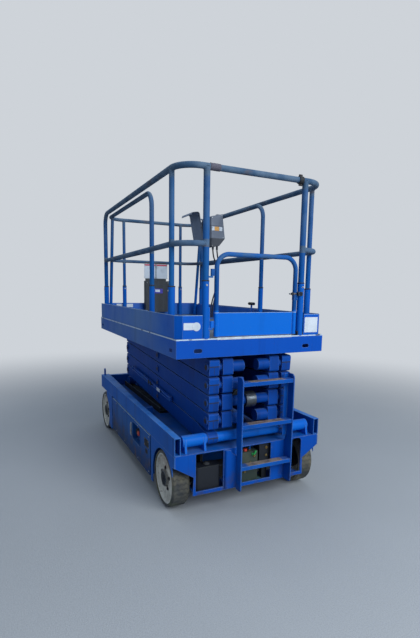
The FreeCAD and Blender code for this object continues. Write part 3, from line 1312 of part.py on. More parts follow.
def main():
    save("chassis_frame", chassis_frame())
    save("tie_down_lugs", tie_down_lugs())
    save("side_skirts", side_skirts() + module_hinges())
    save("rear_end", rear_end())
    save("rear_bay_units", rear_bay_units())
    save("ladder", ladder())
    save("pivot_tube", pivot_tube())
    save("roller_tracks", roller_tracks())
    save("rear_axle", rear_axle())
    save("front_axle", front_axle())
    for name, x, side in WHEELS:
        save("tyre_" + name, tyre(x) if side > 0 else mirrored(tyre(x)))
        save("rim_" + name, rim(x) if side > 0 else mirrored(rim(x)))
    save("knuckle_left", knuckle())
    save("knuckle_right", mirrored(knuckle()))
    save("tie_rod", tie_rod())
    save("module_door_left", module_door())
    save("module_door_right", mirrored(module_door()))
    save("battery_tray", module_tray(BATTERIES, BATTERY_GAP))
    save("tank_tray", mirrored(module_tray(TANK_UNITS, TANK_GAP)))
    for level in range(1, PAIRS + 1):
        save(f"outer_arms_{level}", outer_arms(level))
        save(f"inner_arms_{level}", inner_arms(level))
    save("maintenance_brace", maintenance_brace())
    save("lift_cylinder_barrel", lift_cylinder_barrel())
    save("lift_cylinder_rod", lift_cylinder_rod())
    save("deck_frame", deck_frame())
    save("deck_channels", deck_channels())
    save("deck_floor", deck_floor())
    save("toe_boards", toe_boards())
    save("guardrail_top", guardrail_top())
    save("guardrail_mid", guardrail_mid())
    save("guardrail_posts", guardrail_posts())
    save("gate", gate())
    save("extension_deck", extension_deck())
    save("extension_rails", extension_rails())
    save("control_box", control_box())
    for name in CABLES:
        save(name, cable(name))
    save("sign_panels", sign_panels())
    save("document_box", document_box())


main()
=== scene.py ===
import bmesh
import bpy
import math
from mathutils import Matrix, Vector


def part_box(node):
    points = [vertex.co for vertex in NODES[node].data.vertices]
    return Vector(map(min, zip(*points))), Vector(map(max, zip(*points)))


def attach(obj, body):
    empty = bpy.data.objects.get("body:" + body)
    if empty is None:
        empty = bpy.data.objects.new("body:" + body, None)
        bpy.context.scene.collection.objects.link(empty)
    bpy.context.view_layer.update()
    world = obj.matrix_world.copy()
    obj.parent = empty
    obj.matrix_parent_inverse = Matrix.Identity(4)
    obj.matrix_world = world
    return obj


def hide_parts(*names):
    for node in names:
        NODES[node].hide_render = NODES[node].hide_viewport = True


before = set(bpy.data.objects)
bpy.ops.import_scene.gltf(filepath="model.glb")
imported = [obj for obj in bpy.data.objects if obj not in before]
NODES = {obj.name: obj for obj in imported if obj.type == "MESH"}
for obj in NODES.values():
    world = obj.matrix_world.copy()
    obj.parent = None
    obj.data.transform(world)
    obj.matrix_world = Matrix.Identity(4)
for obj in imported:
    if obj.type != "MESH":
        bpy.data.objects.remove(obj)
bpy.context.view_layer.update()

# Camera, fitted to the photograph. Lengths in metres, angles in radians.
PHOTO_HEIGHT = 638
FOCAL_PIXELS = 427.23
OPTICAL_CENTRE_Y = 352.0
CAMERA_PLACE = Vector((-3.6633, 1.5639, 1.55))
CAMERA_YAW = -0.4491
CAMERA_PITCH = -0.1445
CAMERA_ROLL = 0.0156
SENSOR = 36.0

# Places read from the frame
X = Vector((1.0, 0.0, 0.0))
Y = Vector((0.0, 1.0, 0.0))
Z = Vector((0.0, 0.0, 1.0))
CHASSIS_LOW, CHASSIS_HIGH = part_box("chassis_frame")
MIDDLE_X = (CHASSIS_LOW.x + CHASSIS_HIGH.x) / 2
FLOOR_LOW, FLOOR_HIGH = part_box("deck_floor")
DECK_TOP = FLOOR_HIGH.z
TOE_LOW, TOE_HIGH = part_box("toe_boards")
RAIL_LOW, RAIL_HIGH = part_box("guardrail_top")
MID_LOW, MID_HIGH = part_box("guardrail_mid")
EXT_LOW, EXT_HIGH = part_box("extension_rails")
EXT_DECK_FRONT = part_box("extension_deck")[1].x
GATE_LOW, GATE_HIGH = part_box("gate")
DOOR_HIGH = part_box("module_door_left")[1]
REAR_LOW, REAR_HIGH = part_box("rear_end")
LADDER_LOW, LADDER_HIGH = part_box("ladder")
CONTROL_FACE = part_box("control_box")[0].x
SIGN_LOW, SIGN_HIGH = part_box("sign_panels")
PAPERS_LOW, PAPERS_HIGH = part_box("document_box")
UNITS_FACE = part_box("rear_bay_units")[0].x
BRACE_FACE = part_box("maintenance_brace")[1].y

# Guardrails
RAIL_R = 0.020
MID_RAIL_R = 0.019
SIDE_POST_R = 0.018
REAR_POST_R = 0.0215
SOCKET_R = 0.024
RAIL_Y = RAIL_HIGH.y - RAIL_R
RAIL_Z = RAIL_HIGH.z - RAIL_R
RAIL_REAR = RAIL_LOW.x + RAIL_R
RAIL_FRONT = RAIL_HIGH.x - RAIL_R
RAIL_SIDE = RAIL_REAR + 0.143
MID_Z = (MID_LOW.z + MID_HIGH.z) / 2
POST_LEFT_Y = 0.378
POST_RIGHT_Y = -0.385
SOCKET_SIDE_Z = DECK_TOP + 0.333
SOCKET_REAR_Z = DECK_TOP + 0.373
EXT_RAIL_R = 0.018
EXT_MID_R = 0.017
EXT_SLIM_R = 0.016
EXT_SOCKET_R = 0.021
EXT_Y = EXT_HIGH.y - EXT_SOCKET_R
EXT_Z = EXT_HIGH.z - EXT_RAIL_R
EXT_MID_Z = DECK_TOP + 0.618
EXT_REAR = EXT_LOW.x + EXT_SOCKET_R
EXT_FRONT = EXT_HIGH.x - EXT_SOCKET_R
EXT_POST_Y = EXT_Y - 0.170
EXT_FLOOR = DECK_TOP + 0.019
EXT_SOCKET_Z = DECK_TOP + 0.343

# Scissor stack
PAIRS = 5
PITCH = 0.126
ARM_L = 2.080
STOWED = math.asin(PITCH / ARM_L)
STACK_X = MIDDLE_X - 1.088
STACK_Z = 0.520
OUTER_Y0 = 0.257
OUTER_Y1 = 0.333
PIN_FACE_Y = 0.341

# Wheels
WHEEL_R = 0.203
RIM_FACE_Y = 0.570
HUB_FACE_Y = 0.587
NUT_CIRCLE = 0.078
NUTS = 5
WHEELS = {name: sum(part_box("tyre_" + name), Vector()) / 2
          for name in ("front_left", "front_right", "rear_left", "rear_right")}


def add_object(name, data):
    made = bpy.data.objects.new(name, data)
    bpy.context.scene.collection.objects.link(made)
    return made


def photo_camera():
    forward = Vector((math.cos(CAMERA_YAW) * math.cos(CAMERA_PITCH),
                      math.sin(CAMERA_YAW) * math.cos(CAMERA_PITCH), math.sin(CAMERA_PITCH)))
    right = Vector((math.sin(CAMERA_YAW), -math.cos(CAMERA_YAW), 0.0))
    up = right.cross(forward)
    side = math.cos(CAMERA_ROLL) * right + math.sin(CAMERA_ROLL) * up
    top = math.cos(CAMERA_ROLL) * up - math.sin(CAMERA_ROLL) * right
    data = bpy.data.cameras.new("photo_camera")
    data.sensor_width = SENSOR
    data.lens = FOCAL_PIXELS * SENSOR / PHOTO_HEIGHT
    data.shift_y = (OPTICAL_CENTRE_Y - PHOTO_HEIGHT / 2) / PHOTO_HEIGHT
    camera = add_object("photo_camera", data)
    turn = Matrix((side, top, -forward)).transposed()
    camera.matrix_world = Matrix.Translation(CAMERA_PLACE) @ turn.to_4x4()
    bpy.context.scene.camera = camera


# Nodes and colours

def feed(tree, socket, value):
    """Links a socket to an output, or gives it a plain value."""
    if isinstance(value, bpy.types.NodeSocket):
        tree.links.new(value, socket)
    else:
        socket.default_value = value


def add_node(tree, kind, inputs=None, **settings):
    made = tree.nodes.new(kind)
    for key, value in settings.items():
        setattr(made, key, value)
    for key, value in (inputs or {}).items():
        feed(tree, made.inputs[key], value)
    return made


def mixed(tree, first, second, share):
    made = add_node(tree, "ShaderNodeMix", {"Factor": share, "A": first, "B": second}, data_type="RGBA")
    return made.outputs["Result"]


def srgb(red, green, blue):
    """A colour given in the 0 to 255 values of a screen, as Blender's linear values."""
    def linear(value):
        share = value / 255.0
        return share / 12.92 if share <= 0.04045 else ((share + 0.055) / 1.055) ** 2.4
    return (linear(red), linear(green), linear(blue), 1.0)


# Light and floor

BACKDROP = srgb(206, 211, 217)
AMBIENT = (0.20, 0.26, 0.34, 1.0)
REFLECTED = (0.40, 0.46, 0.54, 1.0)
LAMP_AIM = Vector((0.0, 0.0, 1.0))
LAMPS = (  # name, place, size, watts, tint
    ("rear_softbox", (-6.5, -1.6, 4.4), 4.5, 420.0, (0.88, 0.95, 1.0)),
    ("left_softbox", (0.5, 6.5, 4.0), 4.0, 34.0, (0.86, 0.92, 1.0)),
    ("overhead_softbox", (0.5, 0.0, 6.5), 5.0, 100.0, (0.88, 0.95, 1.0)),
)
FLOOR_FADE = (1.8, 7.5)
FLOOR_HALF = 30.0
FLOOR_ROUGHNESS = 0.85


def studio():
    """Softboxes, and a world that is dim as light, paler in reflections and the backdrop to the camera."""
    for name, place, size, watts, tint in LAMPS:
        data = bpy.data.lights.new(name, "AREA")
        data.shape = "SQUARE"
        data.size = size
        data.energy = watts
        data.color = tint
        lamp = add_object(name, data)
        lamp.location = place
        lamp.rotation_mode = "QUATERNION"
        lamp.rotation_quaternion = (LAMP_AIM - Vector(place)).to_track_quat("-Z", "Y")
    world = bpy.data.worlds.new("studio_world")
    bpy.context.scene.world = world
    world.use_nodes = True
    tree = world.node_tree
    background = tree.nodes["Background"]
    feed(tree, background.inputs["Strength"], 1.0)
    path = add_node(tree, "ShaderNodeLightPath")
    glow = mixed(tree, AMBIENT, REFLECTED, path.outputs["Is Glossy Ray"])
    feed(tree, background.inputs["Color"], mixed(tree, glow, BACKDROP, path.outputs["Is Camera Ray"]))


def floor():
    """Pale floor that fades into the backdrop's colour away from the machine."""
    mesh = bpy.data.meshes.new("studio_floor")
    corners = [(x * FLOOR_HALF, y * FLOOR_HALF, 0) for x, y in ((-1, -1), (1, -1), (1, 1), (-1, 1))]
    mesh.from_pydata(corners, [], [(0, 1, 2, 3)])
    piece = add_object("studio_floor", mesh)
    f = Finish("studio_floor")
    grain = f.patch(160.0, 5.0, 0.35, 0.7)
    f.base = f.mix((166, 168, 171), (178, 180, 183), f.noise(0.9, 4.0))
    f.coat((150, 152, 156), grain, 0.5)
    f.finish(FLOOR_ROUGHNESS, f.bump(grain, 0.0006))
    away = f.node("ShaderNodeVectorMath", {0: f.place}, operation="LENGTH")
    path = f.node("ShaderNodeLightPath")
    share = f.times(f.step(away.outputs["Value"], *FLOOR_FADE), path.outputs["Is Camera Ray"])
    glow = f.node("ShaderNodeEmission", {"Color": BACKDROP})
    blend = f.node("ShaderNodeMixShader", {"Fac": share, 1: f.surface.outputs[0], 2: glow.outputs[0]})
    feed(f.tree, f.tree.nodes["Material Output"].inputs["Surface"], blend.outputs[0])
    mesh.materials.append(f.material)


# Materials

class Finish:
    """One procedural material on Object coordinates; base is its colour so far, and coats lie over it."""

    def __init__(self, name, metallic=0.0):
        self.material = bpy.data.materials.new(name)
        self.material.use_nodes = True
        self.tree = self.material.node_tree
        self.surface = self.tree.nodes["Principled BSDF"]
        self.surface.inputs["Metallic"].default_value = metallic
        coordinates = self.node("ShaderNodeTexCoord")
        self.place = coordinates.outputs["Object"]
        self.facing = coordinates.outputs["Normal"]
        self.base = None

    def node(self, kind, inputs=None, **settings):
        return add_node(self.tree, kind, inputs, **settings)

    def math(self, operation, first, second=0.0):
        return self.node("ShaderNodeMath", {0: first, 1: second}, operation=operation).outputs[0]

    def plus(self, first, second):
        return self.math("ADD", first, second)

    def minus(self, first, second):
        return self.math("SUBTRACT", first, second)

    def most(self, first, second):
        return self.math("MAXIMUM", first, second)

    def times(self, *values):
        product = values[0]
        for value in values[1:]:
            product = self.math("MULTIPLY", product, value)
        return product

    def axis(self, name, vector=None):
        """X, Y or Z of a vector; of the place on the piece if none is given."""
        return self.node("ShaderNodeSeparateXYZ", {0: vector or self.place}).outputs[name]

    def noise(self, scale, detail=4.0, stretch=None):
        place = self.place
        if stretch:
            place = self.node("ShaderNodeMapping", {"Vector": place, "Scale": stretch}).outputs["Vector"]
        inputs = {"Vector": place, "Scale": scale, "Detail": detail}
        return self.node("ShaderNodeTexNoise", inputs).outputs["Fac"]

    def step(self, value, low, high):
        """0 below low, 1 above high, smooth between; falls instead where low is the higher."""
        start, end = (0.0, 1.0) if high > low else (1.0, 0.0)
        inputs = {"Value": value, "From Min": min(low, high), "From Max": max(low, high),
                  "To Min": start, "To Max": end}
        return self.node("ShaderNodeMapRange", inputs, interpolation_type="SMOOTHSTEP").outputs["Result"]

    def patch(self, scale, detail, low, high, stretch=None):
        """Patches where the noise rises from low to high."""
        return self.step(self.noise(scale, detail, stretch), low, high)

    def rise(self, low, high):
        """A step along the height on the machine."""
        return self.step(self.axis("Z"), low, high)

    def upward(self, low=0.8, high=0.98):
        """1 on faces that look up."""
        return self.step(self.axis("Z", self.facing), low, high)

    def near(self, value, middle, half, soft):
        """1 within half of middle, 0 further off than half and soft."""
        off = self.math("ABSOLUTE", self.minus(value, middle))
        return self.step(off, half + soft, half)

    def from_line(self, x, z):
        """Distance from a line along Y."""
        across = self.minus(self.axis("X"), x)
        above = self.minus(self.axis("Z"), z)
        return self.math("SQRT", self.plus(self.times(across, across), self.times(above, above)))

    def mix(self, first, second, share):
        """Mix of two colours, each an output or three screen values."""
        ends = [srgb(*colour) if isinstance(colour, tuple) else colour for colour in (first, second)]
        return mixed(self.tree, *ends, share)

    def coat(self, colour, *shares):
        """Lays a colour over the base, by the product of the shares."""
        self.base = self.mix(self.base, colour, self.times(*shares))

    def edges(self, width):
        """A softened normal near edges, and how close an edge is, 0 to 1."""
        soft = self.node("ShaderNodeBevel", {"Radius": width}, samples=4).outputs["Normal"]
        hard = self.node("ShaderNodeNewGeometry").outputs["Normal"]
        made = self.node("ShaderNodeVectorMath", {0: soft, 1: hard}, operation="DOT_PRODUCT")
        return soft, self.step(made.outputs["Value"], 0.995, 0.90)

    def bump(self, height, distance, normal=None):
        inputs = {"Distance": distance, "Height": height}
        if normal:
            inputs["Normal"] = normal
        return self.node("ShaderNodeBump", inputs).outputs["Normal"]

    def finish(self, roughness, normal):
        for label, value in (("Base Color", self.base), ("Roughness", roughness), ("Normal", normal)):
            feed(self.tree, self.surface.inputs[label], value)
        return self.material


# Colours in the 0 to 255 values of a screen
GRIME = (22, 28, 36)
DUST = (116, 124, 132)
MUD = (74, 70, 64)
RUST = (104, 58, 32)
TAN_RUST = (150, 112, 84)
WORN_EDGE = (170, 198, 224)
BLUE = (20, 110, 208)
PAINT_SHEEN = 0.12
PAINT_DUST = 0.3
STREAKS = (9.0, 9.0, 1.3)
RUNS = (46.0, 46.0, 1.6)
SCRATCHES = (14.0, 60.0, 90.0)


def painted(name, colour, faded, fade, chips, grime, gloss, mark=None):
    """Machine paint: faded patches, chips along edges, fine scratches, grime and dust on flat tops.

    mark takes the finish and lays what belongs to one place over its base.
    """
    f = Finish(name)
    f.surface.inputs["Specular IOR Level"].default_value = PAINT_SHEEN
    f.base = f.mix(colour, faded, f.times(f.patch(2.3, 5.0, 0.42, 0.68), fade))
    if mark:
        mark(f)
    f.coat(GRIME, f.patch(1.0, 6.0, 0.50, 0.78, STREAKS), grime)
    f.coat(GRIME, f.patch(1.0, 4.0, 0.58, 0.72, RUNS), f.noise(1.7), 0.8 * grime)
    f.coat(faded, f.patch(1.0, 8.0, 0.66, 0.74, SCRATCHES), 0.45)
    f.coat(DUST, f.upward(0.75), f.patch(5.0, 6.0, 0.30, 0.75), PAINT_DUST)
    f.coat(MUD, f.rise(0.42, 0.08), f.patch(16.0, 7.0, 0.44, 0.68), 0.55)
    normal, edge = f.edges(0.004)
    chipped = f.times(edge, f.patch(38.0, 6.0, 0.52, 0.60))
    bared = f.mix(DUST, RUST, f.patch(9.0, 4.0, 0.48, 0.60))
    f.coat(bared, chipped, chips)
    f.coat(WORN_EDGE, edge, 0.34)
    nicks = f.patch(75.0, 3.0, 0.71, 0.735)
    f.coat(bared, nicks, 0.7 * chips)
    roughness = f.plus(gloss, f.times(f.noise(4.0, 6.0), 0.26))
    relief = f.minus(f.times(f.noise(420.0, 2.0), 0.25), f.times(f.most(chipped, nicks), 0.75))
    return f.finish(roughness, f.bump(relief, 0.0006, normal))


def bare_metal(name, colour, stain, roughness, stain_share, metallic=0.85):
    """Steel with stains, a fine grain and softened edges."""
    f = Finish(name, metallic)
    stains = f.patch(14.0, 6.0, 0.45, 0.66)
    f.base = f.mix(colour, stain, f.times(stains, stain_share))
    normal, edge = f.edges(0.002)
    f.coat(DUST, edge, 0.35)
    return f.finish(f.plus(roughness, f.times(stains, 0.3)), f.bump(f.noise(300.0, 3.0), 0.0003, normal))


def moulded(name, colour, worn, roughness, scuffing=0.55, grain=0.0004, mark=None):
    """Moulded plastic or rubber: fine leather grain, scuffs and rubbed edges."""
    f = Finish(name)
    scuffs = f.patch(11.0, 7.0, 0.48, 0.74)
    f.base = f.mix(colour, worn, f.times(scuffs, scuffing))
    if mark:
        mark(f)
    normal, edge = f.edges(0.003)
    f.coat(worn, edge, 0.6)
    return f.finish(f.plus(roughness, f.times(scuffs, 0.15)), f.bump(f.noise(700.0, 2.0), grain, normal))


def rail_wear(f):
    """The sockets keep their blue; hands and weather grey the posts towards the top, and the rails."""
    height = f.axis("Z")
    rear_post = f.step(f.axis("X"), RAIL_REAR + 0.06, RAIL_REAR + 0.05)
    mouth = f.plus(SOCKET_SIDE_Z, f.times(rear_post, SOCKET_REAR_Z - SOCKET_SIDE_Z))
    f.coat((2, 94, 192), f.step(f.minus(height, mouth), 0.001, -0.001), 0.8)
    rubbed = f.mix((92, 112, 132), (62, 88, 114), f.patch(7.0, 6.0, 0.40, 0.65))
    f.coat(rubbed, f.step(height, DECK_TOP + 0.42, RAIL_Z), 0.6)
    held = f.step(height, EXT_Z - 0.05, EXT_Z - 0.02)
    for level in (MID_Z, EXT_MID_Z):
        held = f.most(held, f.near(height, level, 0.019, 0.004))
    f.coat(rubbed, held, 0.85)
    f.coat((92, 86, 92), f.patch(3.1, 5.0, 0.56, 0.70, (2.0, 2.0, 6.0)), held, 0.75)


def gate_wear(f):
    """The gate's tube is rubbed where it is pushed, its panel is not and has a pale top edge."""
    height = f.axis("Z")
    rubbed = f.mix((70, 104, 140), (30, 92, 164), f.patch(7.0, 6.0, 0.36, 0.62))
    f.coat((8, 74, 142), f.step(height, GATE_LOW.z + 0.162, GATE_LOW.z + 0.18))
    f.coat(WORN_EDGE, f.near(height, GATE_LOW.z + 0.159, 0.0015, 0.001), 0.9)
    f.coat(rubbed, f.step(height, GATE_HIGH.z - 0.22, GATE_HIGH.z - 0.03), 0.85)


def top_line(f, top):
    """The last millimetres below an edge."""
    return f.rise(top - 0.004, top - 0.001)


def left_side_sheen(f):
    """A painted reflection of the sky, in patches, on the faces of the platform's left side."""
    f.coat((108, 140, 170), f.step(f.axis("Y", f.facing), 0.7, 0.95), f.patch(1.6, 4.0, 0.20, 0.70), 0.62)


def toe_sheen_and_wear(f):
    # The painted reflection of the sky on the left side, and a pale worn line along the boards' top.
    left_side_sheen(f)
    f.coat(WORN_EDGE, top_line(f, TOE_HIGH.z), 0.9)


def deck_edge_sheen_and_wear(f):
    """The painted reflection of the sky on the left side, and paint worn to a pale line where the floor's edge
    is stepped on.
    """
    left_side_sheen(f)
    worn = f.patch(6.0, 4.0, 0.30, 0.55)
    f.coat((182, 204, 226), f.rise(DECK_TOP - 0.009, DECK_TOP - 0.003),
           f.plus(0.45, f.times(worn, 0.5)))


def door_wear_and_highlight(f):
    """The module doors are dark and rusty low down, and a pale line along their turned top edge is a painted
    highlight.
    """
    low = f.rise(0.34, 0.12)
    f.coat((14, 26, 44), low, 0.6)
    # Painted highlight along the doors' turned top edge.
    f.coat(WORN_EDGE, top_line(f, DOOR_HIGH.z))
    f.coat((92, 72, 62), f.patch(9.0, 6.0, 0.52, 0.62), low, 0.6)


def beam_top_light(f):
    """Painted light: the side beams' top flange, which looks up, is painted a lighter blue than their sides, in
    patches.
    """
    # The patchy share of the painted light on the flange.
    worn = f.plus(0.50, f.times(f.patch(5.0, 6.0, 0.36, 0.64), 0.45))
    f.coat((66, 136, 220), f.upward(), f.rise(CHASSIS_HIGH.z - 0.02, CHASSIS_HIGH.z - 0.005), worn)


SEAM_SHARE = 0.56
SEAM_HALF = 0.028


def arm_seams(f):
    """The outer arms' rear ends are closed with welded plates: a seam across, and one down from it."""
    row = f.math("FRACT", f.math("DIVIDE", f.minus(f.axis("Z"), STACK_Z - PITCH / 2), PITCH))
    side = f.math("ABSOLUTE", f.axis("Y"))
    level = f.near(row, SEAM_SHARE, SEAM_HALF, 0.015)
    middle = f.near(side, (OUTER_Y0 + OUTER_Y1) / 2, 0.0012, 0.001)
    down = f.times(middle, f.step(row, SEAM_SHARE, SEAM_SHARE - 0.02))
    end = f.times(f.step(f.axis("X"), STACK_X - 0.036, STACK_X - 0.039),
                  f.step(side, OUTER_Y0 - 0.01, OUTER_Y0))
    f.coat((14, 92, 190), end, f.step(row, SEAM_SHARE - 0.02, SEAM_SHARE), 0.35)
    f.coat(f.mix(GRIME, (60, 66, 84), f.noise(40.0)), f.most(level, down), end, 0.9)


SPLASH_PLACE = Vector((REAR_HIGH.x - 0.075, -0.08, REAR_LOW.z))


def rear_marks(f):
    """Green paint spilt on the rear shelf, and paler blue patches on faces that look up."""
    away = f.node("ShaderNodeVectorMath", {0: f.place, 1: SPLASH_PLACE}, operation="DISTANCE")
    ragged = f.plus(away.outputs["Value"], f.times(f.noise(18.0, 5.0), 0.09))
    f.coat((70, 120, 84), f.step(ragged, 0.125, 0.10), 0.85)
    f.coat((70, 104, 150), f.upward(), f.patch(12.0, 6.0, 0.45, 0.7), 0.5)


def ladder_wear(f):
    """Rung tops trodden to rusty steel between bright blue ends."""
    y = f.axis("Y")
    between = f.times(f.step(y, LADDER_LOW.y + 0.055, LADDER_LOW.y + 0.085),
                      f.step(y, LADDER_HIGH.y - 0.055, LADDER_HIGH.y - 0.085))
    tread = f.mix((158, 136, 118), (112, 88, 74), f.patch(22.0, 6.0, 0.40, 0.66))
    f.coat(tread, between, f.upward(0.7, 0.95), 0.95)


HOOD_X = CONTROL_FACE + 0.230
SEAM_Z = EXT_Z - 0.100
UNIT_FOOT_Z = EXT_Z - 0.215


def unit_light_and_marks(f):
    """The control unit's hood is painted lighter than its housing, painted light on a part that lies in shade;
    its foot is darker, and a seam runs under the lid.
    """
    x = f.axis("X")
    # Painted light on the hood.
    f.coat((114, 128, 150), f.step(x, HOOD_X - 0.001, HOOD_X + 0.001))
    housing = f.step(x, HOOD_X + 0.001, HOOD_X - 0.001)
    f.coat((34, 38, 46), f.near(f.axis("Z"), SEAM_Z, 0.0012, 0.001), housing, 0.9)
    f.coat((42, 46, 56), f.rise(UNIT_FOOT_Z, UNIT_FOOT_Z - 0.013), 0.9)


def unit_shade(f):
    """Painted shade: the reservoir and the valve block beside the pump, deep in the bay, are painted near black.
    """
    y = f.axis("Y")
    f.coat((12, 18, 28), f.most(f.step(y, 0.15, 0.16), f.step(y, -0.075, -0.080)))


def papers_marks(f):
    f.coat((70, 78, 88), f.patch(1.0, 5.0, 0.50, 0.75, (20.0, 20.0, 2.0)), 0.4)


CELL = 0.034
LOZENGE_LONG = 0.40
LOZENGE_WIDE = 0.13


def tread_height(f):
    """Raised lozenges of tread plate, laid on the slant and turned from one cell to the next."""
    x = f.axis("X")
    y = f.axis("Y")
    u = f.math("DIVIDE", f.plus(x, y), CELL)
    v = f.math("DIVIDE", f.minus(x, y), CELL)
    fu = f.minus(f.math("FRACT", u), 0.5)
    fv = f.minus(f.math("FRACT", v), 0.5)
    cells = f.plus(f.math("FLOOR", u), f.math("FLOOR", v))
    turned = f.math("GREATER_THAN", f.math("FRACT", f.times(cells, 0.5)), 0.25)

    def lozenge(long, wide):
        reach = f.plus(f.math("DIVIDE", f.math("ABSOLUTE", long), LOZENGE_LONG),
                       f.math("DIVIDE", f.math("ABSOLUTE", wide), LOZENGE_WIDE))
        return f.step(reach, 1.0, 0.7)
    return f.plus(f.times(lozenge(fu, fv), f.minus(1.0, turned)), f.times(lozenge(fv, fu), turned))


def tread_plate(name, edge_low, board_colour=None):
    """Tread plate, worn bright on its lozenges; above edge_low the boards round it are painted."""
    f = Finish(name)
    height = f.axis("Z")
    raised = tread_height(f)
    dirt = f.patch(3.0, 7.0, 0.35, 0.70)
    f.base = f.mix((92, 108, 130), (66, 76, 88), dirt)
    f.coat((150, 158, 166), raised, f.patch(5.0, 5.0, 0.36, 0.62), 0.8)
    f.coat((84, 66, 52), f.patch(11.0, 6.0, 0.60, 0.70), 0.6)
    plate = f.base
    flat = f.times(f.upward(), f.step(height, edge_low + 0.003, edge_low + 0.001))
    normal, edge = f.edges(0.003)
    if board_colour is None:
        f.base = f.mix((196, 212, 228), plate, f.most(flat, f.patch(14.0, 5.0, 0.56, 0.66)))
    else:
        f.base = f.mix(board_colour, (40, 116, 200), f.times(f.patch(3.0, 5.0, 0.42, 0.7), 0.5))
        f.coat(GRIME, f.patch(1.0, 6.0, 0.5, 0.78, STREAKS), 0.25)
        tops = f.times(f.upward(), f.step(height, edge_low + 0.05, edge_low + 0.06))
        f.coat(WORN_EDGE, f.most(tops, f.times(edge, 0.6)))
        f.coat(plate, flat)
    return f.finish(f.plus(0.42, f.times(dirt, 0.3)), f.bump(f.times(raised, flat), 0.0016, normal))


TREAD_CUTS = 36.0


def tyre(name, axle_x):
    """Solid non-marking tyre: zig-zag cuts across the tread with painted shade in them, scuffed shoulders, dried
    mud.
    """
    f = Finish(name)
    turn = f.math("ARCTAN2", f.minus(f.axis("Z"), WHEEL_R), f.minus(f.axis("X"), axle_x))
    cuts = f.times(turn, TREAD_CUTS / (2 * math.pi))
    zigzag = f.times(f.math("PINGPONG", f.axis("Y"), 0.016), 26.0)
    cut = f.near(f.math("FRACT", f.plus(cuts, f.plus(zigzag, 8.0))), 0.5, 0.035, 0.05)
    radius = f.from_line(axle_x, WHEEL_R)
    groove = f.times(cut, f.step(radius, WHEEL_R - 0.010, WHEEL_R - 0.006))
    f.base = f.mix((52, 55, 58), (92, 90, 82), f.times(f.patch(13.0, 7.0, 0.44, 0.70), 0.8))
    mud = f.patch(6.0, 8.0, 0.46, 0.60)
    f.coat((124, 116, 94), mud, 0.55)
    f.coat((70, 78, 54), f.patch(8.3, 6.0, 0.54, 0.66), 0.6)
    # Painted shade in the tread's cuts.
    f.coat((24, 25, 27), groove, 0.8)
    rings = f.near(f.math("FRACT", f.times(radius, 110.0)), 0.5, 0.12, 0.12)
    side = f.times(rings, f.step(radius, WHEEL_R - 0.008, WHEEL_R - 0.012))
    relief = f.minus(f.times(f.noise(160.0, 4.0), 0.3), f.plus(groove, f.times(side, 0.15)))
    normal, edge = f.edges(0.004)
    f.coat((120, 118, 110), edge, 0.35)
    return f.finish(f.plus(0.74, f.times(mud, 0.15)), f.bump(relief, 0.0018, normal))


def rim(name, axle_x):
    """Cream rim, browned by brake dust inside, with a dark greasy hub and a paler flange."""
    f = Finish(name)
    radius = f.from_line(axle_x, WHEEL_R)
    chalk = f.patch(9.0, 6.0, 0.40, 0.68)
    f.base = f.mix((200, 196, 184), (168, 164, 154), f.times(chalk, 0.7))
    upper = f.rise(WHEEL_R + 0.02, WHEEL_R + 0.13)
    f.coat((122, 92, 74), f.patch(14.0, 7.0, 0.36, 0.62), upper, f.step(radius, 0.180, 0.150), 0.75)
    f.coat((226, 226, 220), f.step(radius, 0.164, 0.172), 0.6)
    f.coat((96, 76, 60), f.patch(60.0, 5.0, 0.60, 0.66), 0.6)
    f.coat((46, 44, 44), f.step(f.plus(radius, f.times(f.noise(30.0, 4.0), 0.02)), 0.082, 0.066), 0.92)
    normal, edge = f.edges(0.003)
    f.coat((112, 98, 84), edge, 0.4)
    return f.finish(f.plus(0.45, f.times(chalk, 0.2)), f.bump(f.noise(240.0, 4.0), 0.0005, normal))


PAINTS = {  # colour, faded colour, shares of fading, chips and grime, roughness, marks
    "gate_blue": ((0, 104, 206), BLUE, 0.3, 0.4, 0.12, 0.42, gate_wear),
    "toe_blue": ((1, 86, 188), BLUE, 0.35, 0.2, 0.22, 0.40, toe_sheen_and_wear),
    "deck_blue": ((1, 78, 178), (6, 88, 186), 0.4, 0.25, 0.28, 0.42, deck_edge_sheen_and_wear),
    "chassis_blue": ((3, 86, 172), (20, 100, 182), 0.5, 0.4, 0.40, 0.38, beam_top_light),
    "door_blue": ((5, 76, 150), (24, 92, 158), 0.5, 0.3, 0.5, 0.36, door_wear_and_highlight),
    "rear_blue": ((2, 74, 168), (8, 86, 178), 0.4, 0.7, 0.32, 0.40, rear_marks),
    # The ladder's blue is a darker copy of the paint, as painted shade.
    "ladder_blue": ((2, 76, 164), (20, 100, 184), 0.5, 0.7, 0.28, 0.38, ladder_wear),
    "tube_blue": ((2, 98, 200), (22, 116, 208), 0.4, 0.5, 0.22, 0.34),
    "arm_blue": ((4, 64, 148), (10, 74, 152), 0.4, 0.5, 0.42, 0.38, arm_seams),
    "inner_arm_blue": ((4, 66, 150), (10, 74, 152), 0.4, 0.5, 0.42, 0.38),
    "brace_blue": ((16, 84, 180), (60, 116, 186), 0.6, 0.5, 0.35, 0.38),
    "rail_blue": ((6, 82, 154), (34, 98, 152), 0.6, 0.5, 0.25, 0.48, rail_wear),
    "dark_steel": ((36, 40, 46), (66, 60, 54), 0.8, 0.6, 0.5, 0.55),
}
PLATES = {  # height of the floor, colour of the boards round it
    "floor_plate": (DECK_TOP,),
    "extension_plate": (EXT_FLOOR, (1, 90, 190)),
}
